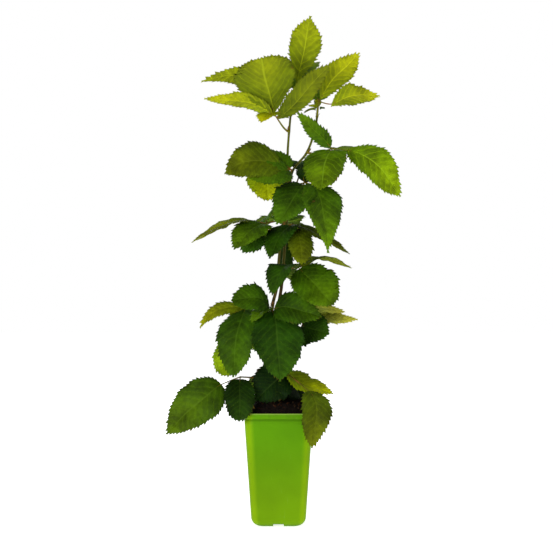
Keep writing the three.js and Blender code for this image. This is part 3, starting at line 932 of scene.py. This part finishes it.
wandering = maths(tree, "ADD", veins_up, patches(tree, 60, 2, 0.3, 0.7, -0.16, 0.16))
to_vein = maths(tree, "PINGPONG", wandering, 0.5)
side_vein = fade(tree, to_vein, 0.012, 0.075, 1, 0)
side_vein = product(tree, side_vein, fade(tree, off_midrib, 0.75, 1.0, 1, 0.2))
midrib = fade(tree, off_midrib, 0.014, 0.055, 1, 0)
veins = maths(tree, "MAXIMUM", side_vein, midrib)
edge = fade(tree, off_midrib, 0.9, 1.0)

net = {"Vector": spot(tree), "Scale": 420}
net = add_node(tree, "ShaderNodeTexVoronoi", net, feature="DISTANCE_TO_EDGE").outputs["Distance"]
net = fade(tree, net, 0.0, 0.12, 1, 0)
print("leaf pattern has", len(tree.nodes), "nodes")

# %% Leaf look
# Painted shade at the foot of each blade and painted light towards its tip, as multipliers.
SHADED_FOOT = (0.66, 0.74, 1, 1)
LIT_TIP = (1.42, 1.24, 1, 1)
PALER = (1.35, 1.3, 1, 1)
PALE_GLOW = (0.025, 0.035, 0.001, 1)
MIDRIB_GLOW = (1.18, 1.14, 5, 1)
UNDERSIDE = (0.13, 0.18, 0.012, 1)
AT_MARGIN = (0.9, 0.86, 0.85, 1)
RUST = (0.16, 0.06, 0.01, 1)

dealt = dealt_tone(tree)
# Painted shade at the foot of each blade, fading to painted light at its tip.
foot_shade_tip_light = mixed(tree, fade(tree, veins_up, 0, 8), SHADED_FOOT, LIT_TIP)
colour = times(
    tree, dealt, patches(tree, 34, 5, 0.32, 0.68, 0.56, 1.36),
    patches(tree, 170, 4, 0.3, 0.7, 0.84, 1.14), fade(tree, to_vein, 0.0, 0.5, 1.06, 0.9), foot_shade_tip_light,
)
pale = mixed(tree, 1.0, times(tree, dealt, PALER), PALE_GLOW, "ADD")
paler = mixed(tree, midrib, pale, times(tree, pale, MIDRIB_GLOW))
shown = product(tree, veins, given.outputs["Vein Paleness"])
colour = layered(
    tree, colour, (product(tree, underneath, 0.38), UNDERSIDE),
    (shown, paler), (product(tree, net, 0.16), pale),
)
rust = product(tree, edge, patches(tree, 60, 2, 0.58, 0.72, 0, 0.45))
colour = layered(tree, colour, (edge, times(tree, colour, AT_MARGIN)), (rust, RUST))

rough = patches(tree, 90, 3, 0.3, 0.7, 0.46, 0.62)
rough = maths(tree, "ADD", rough, product(tree, underneath, 0.2))
height = maths(tree, "SUBTRACT", noise(tree, 900, 2), product(tree, net, 0.7))
height = maths(tree, "SUBTRACT", height, product(tree, side_vein, 1.2))
add_node(tree, "NodeGroupOutput", {"Color": colour, "Roughness": rough, "Height": height})
print("leaf look has", len(tree.nodes), "nodes")

# %% Leaf materials
def leaf_material(name, vein_paleness):
    """The leaf look on a shader of its own: the veins of young leaves show more."""
    material, tree, shader = new_material(name, Specular_IOR_Level=0.05)
    look = add_node(tree, "ShaderNodeGroup", node_tree=leaf_look)
    look.inputs["Vein Paleness"].default_value = vein_paleness
    colour, rough, height = look.outputs
    dress(tree, shader, colour, height, 0.00025, 0.7, rough)
    return material


LEAF_MATERIALS = {
    "young_leaf": leaf_material("young_leaf_green", 0.75),
    "leaf": leaf_material("leaf_green", 0.34),
}
print(list(LEAF_MATERIALS))

# %% [markdown]
# ## Stalk and bark
#
# A leaf stalk is green, flushed red in patches. The cane's thin bark is yellow-green at the top and
# turns olive and red-brown towards the soil, with fine cracks that run lengthwise and small pale
# corky spots.

# %% Stalk material
FLUSH = (0.23, 0.075, 0.02, 1)

stalk_material, tree, shader = new_material("stalk_green", Roughness=0.5, Specular_IOR_Level=0.1)
colour = mixed(tree, patches(tree, 45, 3, 0.42, 0.62, 0, 0.75), dealt_tone(tree), FLUSH)
streak = fade(tree, noise(tree, 160, 2, (1, 1, 0.15)), 0.3, 0.7, 0.8, 1.15)
dress(tree, shader, times(tree, colour, streak), noise(tree, 900, 2, (1, 1, 0.2)), 0.0003)
print("stalk material has", len(tree.nodes), "nodes")

# %% Bark material
BARK_FOOT = (0.055, 0.024, 0.010, 1)
# From the foot up: the heights in metres between which the bark turns to the next colour.
BARK_BANDS = [
    (0.18, 0.36, (0.070, 0.052, 0.009, 1)),
    (0.34, 0.50, (0.075, 0.080, 0.007, 1)),
    (0.50, 0.63, (0.095, 0.105, 0.007, 1)),
]
CORK = (0.30, 0.22, 0.11, 1)

bark_material, tree, shader = new_material("cane_bark", Specular_IOR_Level=0.1)
height = add_node(tree, "ShaderNodeSeparateXYZ", {"Vector": spot(tree)}).outputs["Z"]
ragged = maths(tree, "ADD", height, patches(tree, 22, 4, 0.3, 0.7, -0.07, 0.07))
bands = [(fade(tree, ragged, low, high), over) for low, high, over in BARK_BANDS]
cracks = noise(tree, 420, 4, (1, 1, 0.06))
colour = layered(tree, BARK_FOOT, *bands)
colour = times(tree, colour, fade(tree, cracks, 0.32, 0.62, 0.6, 1.2))
spots = {"Vector": spot(tree), "Scale": 330}
spots = add_node(tree, "ShaderNodeTexVoronoi", spots).outputs["Distance"]
cork = product(tree, fade(tree, spots, 0.10, 0.2, 1, 0), patches(tree, 60, 1, 0.45, 0.6))
colour = mixed(tree, product(tree, cork, 0.7), colour, CORK)
rough = fade(tree, cracks, 0.3, 0.7, 0.75, 0.5)
dress(tree, shader, colour, maths(tree, "ADD", cracks, cork), 0.0005, rough=rough)
print("bark material has", len(tree.nodes), "nodes")

# %% [markdown]
# ## Growing the leaves
#
# The leaves take one loop. Each becomes two pieces, its blades and its stalks, because the two are
# made of different stuff. Both stand for the same part of the plain model.
#
# A cane still grows at its tip, where the youngest leaflets are tiny and folded shut. They are
# blades too, only narrow and steeply folded, and they join the piece of the nearest leaf.

# %% Shoot tips
# For each leaf near a cane's tip: the tip, width, colour and fold of its small leaflets.
SHOOT_TIPS = {
    "leaf_crown_right": [
        ((-21, -9, -7), 8, "gold", 0.7), ((-13, -10, 3), 12, "yellow_lime", 0.8),
        ((10, -7, 0), 6, "shade", 0.9), ((-5, -6, 13), 12, "yellow_lime", 0.8),
        ((3, 9, 15), 9, "yellow_lime", 0.8),
    ],
    "leaf_crown_tip": [
        ((-9, -7, 14), 8, "gold", 0.8), ((8, 7, 15), 9, "yellow_lime", 0.8),
        ((-6, 10, 9), 7, "lime", 0.8),
    ],
}
print(sum(len(tips) for tips in SHOOT_TIPS.values()), "small folded leaflets")

# %% Leaves
TIP_DEPTH = 5

for name, cane, height, hub, *leaflets in LEAVES:
    hub = np.array(hub, float)
    leaflets = [new_leaflet(*row) for row in leaflets]
    slot = "young_leaf" if name.startswith(("leaf_crown", "leaf_high")) else "leaf"
    cane_tip = CANES[cane][-1] - (0, 0, TIP_DEPTH)
    growing = [(hub, leaflet) for leaflet in leaflets]
    for *row, fold in SHOOT_TIPS.get(name, []):
        growing.append((cane_tip, new_leaflet(*row, dict(fold=fold))))
    rooms = cells(2 * len(growing), 2)
    blades = [blade(*one, rooms[2 * i : 2 * i + 2]) for i, one in enumerate(growing)]
    make_piece(name + "_blades", blades, LEAF_MATERIALS[slot], [name])

    tone = TONES["young_stalk" if slot == "young_leaf" else "stalk"]
    rooms = cells(4 + len(leaflets), 1)
    stalk, *foot = petiole(cane, height, hub, rooms[0], tone)
    stalks = [stalk]
    stalks += [stalklet(hub, leaflet, room, tone) for leaflet, room in zip(leaflets, rooms[4:])]
    stalks += [stipule(*foot, side, room, tone) for side, room in zip((-1, 1), rooms[1:])]
    stalks.append(axil_bud(*foot, rooms[3], TONES["bud"]))
    make_piece(name + "_stalks", stalks, stalk_material, [name])
print(len(LEAVES), "leaves grown")

# %% [markdown]
# ## Canes
#
# A young cane isn't quite round: five blunt ridges run up it and twist slowly, and it swells where
# a leaf stalk is attached. So its tube has a whole grid of radii, one for each point.

# %% Canes
CANE_ROWS = 420
CANE_AROUND = 30
SWELLING = 0.17
SWELLING_LENGTH = 4.5
FOOT_SWELLING = 0.10
FOOT_LENGTH = 12
TIP_ROUNDING = 2.5


def bump_at(height, middle, length):
    """A bell curve: 1 at the middle height and nearly 0 two lengths away."""
    return np.exp(-(((height - middle) / length) ** 2))


def cane_skin(name):
    """Radius = linear taper * (1 + ridges + swellings), rounded off at the very tip."""
    line = spread_evenly(CANES[name], CANE_ROWS)
    share = np.linspace(0, 1, CANE_ROWS)[:, None]
    angle = np.arange(CANE_AROUND)[None, :] / CANE_AROUND * 2 * np.pi
    length = np.linalg.norm(np.diff(line, axis=0), axis=1).sum()
    ridges = 0.035 * np.sin(5 * angle + 5 * share) + 0.02 * np.sin(13 * angle + 40 * share)
    ridges = ridges + 0.02 * np.sin(90 * share + 2 * angle) * np.sin(37 * share + angle)
    z = line[:, 2]
    nodes = [height for _, cane, height, *_ in LEAVES if cane == name]
    swelling = SWELLING * sum(bump_at(z, node, SWELLING_LENGTH) for node in nodes)
    swelling = swelling + FOOT_SWELLING * bump_at(z, z[0], FOOT_LENGTH)
    radius = cane_radius(share) * (1 + ridges + swelling[:, None])
    left = length * (1 - share)
    radius = radius * np.sqrt(1 - np.clip(1 - left / TIP_ROUNDING, 0, 0.97) ** 2)
    return tube(line, radius, CANE_AROUND, WHOLE_SQUARE, TONES["cane"])


for name in CANES:
    bark = cane_skin(name)
    make_piece("cane_" + name + "_bark", [bark], bark_material, ["cane_" + name])
    print("cane", name, "done")

# %% [markdown]
# ## The pot
#
# The pot is a thin moulded shell. Its rings are rounded squares along a profile that runs from the
# middle of the underside out round the foot, up the wall, over the rim and down inside. Where a
# drain notch crosses the foot, points under its ceiling are lifted to it, so nothing is cut.

# %% Pot rings
POT_HEIGHT = 169
POT_FOOT_WIDTH = 79
POT_SHOULDER_WIDTH = 101
POT_CORNER = 13
WALL = 1.8
FLOOR = 6.5
FOOT_ROUND = 14
FOOT_SLOPE = 8
RIM_WIDTH = 103.4
RIM_HEIGHT = 8
DRAIN_WIDTH = 15.5
DRAIN_HEIGHT = 5.2
DRAIN_DEPTH = 26
CORNER_STEPS = 12
SHOULDER = POT_HEIGHT - RIM_HEIGHT


def pot_width_at(z):
    """The width of the tapered wall at a height."""
    return POT_FOOT_WIDTH + (POT_SHOULDER_WIDTH - POT_FOOT_WIDTH) * z / SHOULDER


def square_ring(width, z):
    """A rounded square: one side, turned four times, with extra points at the notch's edges."""
    half = width / 2
    corner = POT_CORNER * width / pot_width_at(POT_HEIGHT)
    flat = half - corner
    near = min(DRAIN_WIDTH / 2 + 2, flat * 0.8)
    edge = min(DRAIN_WIDTH / 2, near * 0.8)
    inner = np.array([edge * 0.6, edge, edge + 0.25, near])
    outer = np.linspace(near, flat, 7)[1:]
    right = np.concatenate([inner, outer])
    turn = np.linspace(0, np.pi / 2, CORNER_STEPS + 1)[1:-1]
    x = np.concatenate([-right[::-1], [0], right, flat + corner * np.sin(turn)])
    y = np.concatenate([np.full(len(x) - len(turn), -half), -flat - corner * np.cos(turn)])
    side = np.stack([x, y], 1)
    ring = np.concatenate([side, np.stack([-y, x], 1), -side, np.stack([y, -x], 1)])
    return np.concatenate([ring, np.full((len(ring), 1), float(z))], 1)


def with_notches(rings):
    """The same rings, with the points under a notch's ceiling lifted to it."""
    x, y, z = np.abs(rings[..., 0]), np.abs(rings[..., 1]), rings[..., 2]
    inner = POT_FOOT_WIDTH / 2 - DRAIN_DEPTH
    in_notch = (np.minimum(x, y) < DRAIN_WIDTH / 2 + 0.1) & (np.maximum(x, y) > inner)
    lifted = rings.copy()
    lifted[..., 2] = np.where(in_notch, np.maximum(z, DRAIN_HEIGHT), z)
    return lifted


print("the wall widens to", round(pot_width_at(SHOULDER), 1), "mm")

# %% Pot shape
NECK = pot_width_at(SHOULDER) - 1.4
WELL_WIDTH = 20


def foot_turn(angle):
    """The width and height of the rounded foot at an angle from straight down."""
    z = FOOT_ROUND * (1 - math.cos(angle))
    return pot_width_at(z) - 2 * FOOT_ROUND * (1 - math.sin(angle)), z


# The profile as widths and heights: the underside and foot, the wall, the groove under the rim,
# the rim, the lip and the inside down to the floor.
inner = POT_FOOT_WIDTH - 2 * DRAIN_DEPTH
profile = [(inner - 0.4, 0.0), (inner + 0.4, 0.0)]
profile += [foot_turn(angle) for angle in np.linspace(0, math.pi / 2, 13)]
profile += [(pot_width_at(z), z) for z in np.linspace(FOOT_ROUND, SHOULDER - 2.2, 22)[1:]]
profile += [
    (NECK, SHOULDER - 1.5), (NECK, SHOULDER - 0.2),
    (RIM_WIDTH - 0.7, SHOULDER), (RIM_WIDTH, SHOULDER + 0.5),
    (RIM_WIDTH + 0.4, SHOULDER + 4), (RIM_WIDTH + 0.7, POT_HEIGHT - 1.0),
    (RIM_WIDTH + 0.3, POT_HEIGHT - 0.3), (RIM_WIDTH - 0.6, POT_HEIGHT),
]
within = np.linspace(POT_HEIGHT - 0.7, FLOOR + FOOT_SLOPE, 14)
within = [(pot_width_at(z) - 2 * WALL, z) for z in within]
profile += [(within[0][0] + 0.8, POT_HEIGHT)] + within
profile += [(within[-1][0] - 2 * FOOT_SLOPE, FLOOR), (WELL_WIDTH, FLOOR)]
pot_rings = with_notches(np.stack([square_ring(width, z) for width, z in profile]))
print("pot shell:", pot_rings.shape[0], "rings of", pot_rings.shape[1], "points")

# %% [markdown]
# The corners carry a painted highlight, a yellower green, and painted shade darkens the groove
# under the rim and the foot. Long scuffs and a little dust of soil keep it from looking new, and a
# painted highlight runs along the lip. Heights in this material are in metres.

# %% Pot material
GREEN_LOW = (0.128, 0.262, 0.001, 1)
GREEN_HIGH = (0.086, 0.248, 0.001, 1)
# Painted highlight for the corners.
CORNER_HIGHLIGHT = (0.235, 0.39, 0.001, 1)
SCUFF = (0.30, 0.46, 0.10, 1)
DUST = (0.05, 0.045, 0.012, 1)
# Painted shade for the foot and the groove under the rim.
FOOT_SHADE = (0.045, 0.11, 0.001, 1)
GROOVE_SHADE = (0.03, 0.085, 0.001, 1)
# Painted highlight for the lip.
LIP_HIGHLIGHT = (0.37, 0.50, 0.10, 1)
# Half the pot's width at its foot, and how much that grows for each metre of height.
HALF_FOOT = 0.0395
WALL_SLOPE = 0.0683

pot_material, tree, shader = new_material("lime_plastic", Specular_IOR_Level=0.04)
x, y, z = add_node(tree, "ShaderNodeSeparateXYZ", {"Vector": spot(tree)}).outputs
off_centre = maths(tree, "MINIMUM", maths(tree, "ABSOLUTE", x), maths(tree, "ABSOLUTE", y))
half_wide = maths(tree, "ADD", HALF_FOOT, product(tree, z, WALL_SLOPE))
corner = fade(tree, maths(tree, "DIVIDE", off_centre, half_wide), 0.69, 0.87)
scuffs = fade(tree, noise(tree, 700, 3, (1, 1, 0.12)), 0.62, 0.75)
scuffs = product(tree, scuffs, patches(tree, 30, 2, 0.45, 0.7, 0, 0.14))
near_rim = product(tree, fade(tree, z, 0.148, 0.166), patches(tree, 160, 5, 0.52, 0.68, 0, 0.2))
dusty = maths(tree, "MAXIMUM", near_rim, patches(tree, 260, 5, 0.66, 0.76, 0, 0.2))
groove = fade(tree, z, 0.1565, 0.1590), fade(tree, z, 0.1606, 0.1618, 1, 0)
colour = mixed(tree, fade(tree, z, 0.01, 0.16), GREEN_LOW, GREEN_HIGH)
# Painted highlight on the corners.
colour = mixed(tree, product(tree, corner, 0.55), colour, CORNER_HIGHLIGHT)
colour = times(tree, colour, patches(tree, 14, 4, 0.3, 0.7, 0.9, 1.08))
colour = layered(
    tree, colour, (scuffs, SCUFF), (dusty, DUST),
    # Painted shade at the foot and in the groove under the rim.
    (fade(tree, z, 0.0005, 0.007, 0.45, 0), FOOT_SHADE),
    (product(tree, maths(tree, "MINIMUM", *groove), 0.3), GROOVE_SHADE),
    # Painted highlight along the lip.
    (fade(tree, z, 0.1668, 0.1684, 0, 0.5), LIP_HIGHLIGHT),
)
rough = patches(tree, 55, 4, 0.3, 0.7, 0.34, 0.52)
dress(tree, shader, colour, noise(tree, 1500, 2), 0.00012, 0.5, rough)
print("pot material has", len(tree.nodes), "nodes")

# %% Pot piece
POT_TONE = (0.14, 0.33, 0.003)


def stack_uvs(rings):
    """Rings laid side by side over the whole UV square, as far apart as they are on the object."""
    step = np.linalg.norm(np.diff(rings, axis=0), axis=2).mean(1)
    along = np.concatenate([[0], np.cumsum(step)]) / step.sum()
    return grid_uvs(along, rings.shape[1], WHOLE_SQUARE)


shell = skin(pot_rings, POT_TONE, *stack_uvs(pot_rings))
make_piece("pot_shell", [shell], pot_material, ["pot"])
print("pot done")

# %% [markdown]
# ## Soil
#
# Potting soil is heaped into a low mound with a lumpy top, which is one skin. What the eye takes
# for soil is the loose stuff on it: crumbs of peat and chips of bark, small lumps with only a few
# faces each, half sunk in the surface.

# %% Mound
SOIL_EDGE = 161
SOIL_GAP = 0.3
MOUND_TOP_WIDTH = 66
MOUND_SLOPE = 14
MOUND_SQUARENESS = 3.2
MOUND_SINK = 3.2
ROUGHNESS = 0.72
# The sizes of lump, in millimetres across and high, from the largest to the smallest.
LUMP_SIZES = [(9, 3.4), (4, 2.0), (1.7, 1.0)]


def lumps(x, y, size, seed):
    """Smooth random heights from 0 to 1: the four nearest corners, blended with 3t^2 - 2t^3."""
    heights = np.random.default_rng(seed).uniform(0, 1, (64, 64))
    gx, gy = x / size + 32, y / size + 32
    ix, iy = np.floor(gx).astype(int) % 63, np.floor(gy).astype(int) % 63
    tx, ty = (t * t * (3 - 2 * t) for t in (gx % 1, gy % 1))
    low = heights[ix, iy] * (1 - tx) + heights[ix + 1, iy] * tx
    high = heights[ix, iy + 1] * (1 - tx) + heights[ix + 1, iy + 1] * tx
    return low * (1 - ty) + high * ty


def mound_height(x, y):
    """A quarter-round bank from the edge up to the flat top, roughened on three sizes of lump."""
    x, y = np.asarray(x, float), np.asarray(y, float)
    p = MOUND_SQUARENESS
    reach = (np.abs(x) ** p + np.abs(y) ** p) ** (1 / p)
    down = np.clip((reach - MOUND_TOP_WIDTH / 2) / MOUND_SLOPE, 0, 1)
    bank = SOIL_EDGE + (SOIL_TOP - SOIL_EDGE) * np.sqrt(1 - down**2)
    rough = sum(h * lumps(x, y, size, seed) for seed, (size, h) in enumerate(LUMP_SIZES, 1))
    return bank - MOUND_SINK + rough * ROUGHNESS


def soil_width_at(z):
    """The width of the soil inside the pot's wall at a height."""
    return pot_width_at(z) - 2 * WALL - 2 * SOIL_GAP


mound_rings = [square_ring(soil_width_at(FLOOR) - 0.2 - 2 * FOOT_SLOPE, FLOOR + SOIL_GAP)]
for z in np.linspace(FLOOR + FOOT_SLOPE, SOIL_EDGE - 2, 6):
    mound_rings.append(square_ring(soil_width_at(z), z))
for share in np.linspace(0.995, 0.02, 70):
    ring = square_ring(soil_width_at(SOIL_EDGE) * share, 0)
    ring[:, 2] = mound_height(ring[:, 0], ring[:, 1])
    mound_rings.append(ring)
mound_rings = np.stack(mound_rings)
print("mound top at", mound_rings[..., 2].max().round(1), "mm")

# %% Crumbs
CRUMB_RINGS = [(-0.75, 0.6), (0.0, 1.0), (0.75, 0.55)]
CRUMB_AROUND = 5
# How far a crumb may be turned about x, y and z, as a share of half a turn.
TILTS = (0.35, 0.35, 2)


def turned(points, axis, angle):
    """The points turned about one of the axes."""
    a, b = [(1, 2), (2, 0), (0, 1)][axis]
    out = points.copy()
    out[..., a] = points[..., a] * np.cos(angle) - points[..., b] * np.sin(angle)
    out[..., b] = points[..., a] * np.sin(angle) + points[..., b] * np.cos(angle)
    return out


def crumb(centre, size, flatness, rng, tone):
    """A lump of three rings of five points, squashed and turned at random."""
    tilt = rng.uniform(0, np.pi, 3)
    rings = []
    for level, girth in CRUMB_RINGS:
        angle = np.arange(CRUMB_AROUND) / CRUMB_AROUND * 2 * np.pi + level
        r = girth * rng.uniform(0.75, 1.2, CRUMB_AROUND)
        rings.append(np.stack([r * np.cos(angle), r * np.sin(angle), np.full_like(r, level)], 1))
    points = np.array(rings) * size * np.array([1, rng.uniform(0.6, 1), flatness])
    for axis, most in enumerate(TILTS):
        points = turned(points, axis, tilt[axis] * most)
    left, right = grid_uvs(np.array([0.1, 0.5, 0.9]), CRUMB_AROUND, (0, 0, 1, 1))
    return skin(points + centre, tone, left, right)


print("a crumb has", CRUMB_AROUND * len(CRUMB_RINGS), "points")

# %% [markdown]
# Crumbs are strewn at random over the mound, and about a fifth of them are flat chips of bark.
# Between the canes, and where one would stand up too far, they are pressed in. The clods are
# placed one by one, where the photograph shows dark soil between the lowest leaves.

# %% Loose soil
CRUMB_COUNT = 900
STREWN = 46
CHIP_SHARE = 0.22
SOIL_TONES = [
    (0.006, 0.004, 0.003), (0.010, 0.006, 0.004), (0.004, 0.003, 0.003),
    (0.032, 0.011, 0.004), (0.05, 0.026, 0.012),
]
# How often a chip and a crumb are dealt each of the tones.
CHIP_ODDS = (0.1, 0.2, 0.05, 0.4, 0.25)
CRUMB_ODDS = (0.4, 0.34, 0.2, 0.05, 0.01)
# Where each clod lies, and its size.
CLODS = [
    (-35, 4, 4.4), (-30, 14, 3.4), (-12, 22, 3.0), (3, 24, 3.6), (13, 10, 4.6), (19, 19, 3.4),
    (33, 8, 4.6), (26, 25, 3.8), (38, -2, 3.2), (-22, 27, 3.6), (8, -24, 2.6), (-16, -20, 2.8),
]
SEED = 7
MIDDLE = 3
TALLEST = SOIL_TOP + 3

rng = np.random.default_rng(SEED)
crumbs = []
while len(crumbs) < CRUMB_COUNT:
    x, y = rng.uniform(-STREWN, STREWN, 2)
    chip = rng.random() < CHIP_SHARE
    size = rng.uniform(1.4, 3.2) if chip else rng.uniform(0.7, 2.0)
    flatness = 0.28 if chip else rng.uniform(0.7, 1.0)
    tone = SOIL_TONES[rng.choice(5, p=CHIP_ODDS if chip else CRUMB_ODDS)]
    z = float(mound_height(x, y)) + 0.15 * size
    if math.hypot(x, y) < MIDDLE or z + size > TALLEST:
        z -= 1.0
    crumbs.append(crumb(np.array([x, y, z]), size, flatness, rng, tone))
for x, y, size in CLODS:
    z = float(mound_height(x, y)) + 0.55 * size
    crumbs.append(crumb(np.array([x, y, z]), size, 0.95, rng, SOIL_TONES[0]))
for one, (x, y, width, height) in zip(crumbs, cells(len(crumbs), 30)):
    one["left"] = one["left"] * (width, height) + (x, y)
    one["right"] = one["right"] * (width, height) + (x, y)
print(len(crumbs), "crumbs, chips and clods")

# %% Soil pieces
REDDISH = (0.035, 0.013, 0.006, 1)
MOUND_TONE = (0.007, 0.0045, 0.0035)

soil_material, tree, shader = new_material("potting_soil", Roughness=0.9, Specular_IOR_Level=0.05)
grain = noise(tree, 900, 5)
colour = times(tree, dealt_tone(tree), fade(tree, grain, 0.3, 0.7, 0.45, 1.5))
colour = mixed(tree, patches(tree, 420, 3, 0.62, 0.7, 0, 0.6), colour, REDDISH)
dress(tree, shader, colour, grain, 0.0015)

mound = skin(mound_rings, MOUND_TONE, *stack_uvs(mound_rings))
make_piece("soil_mound", [mound], soil_material, ["soil"])
make_piece("soil_crumbs", crumbs, soil_material, ["soil"])
print("soil done")
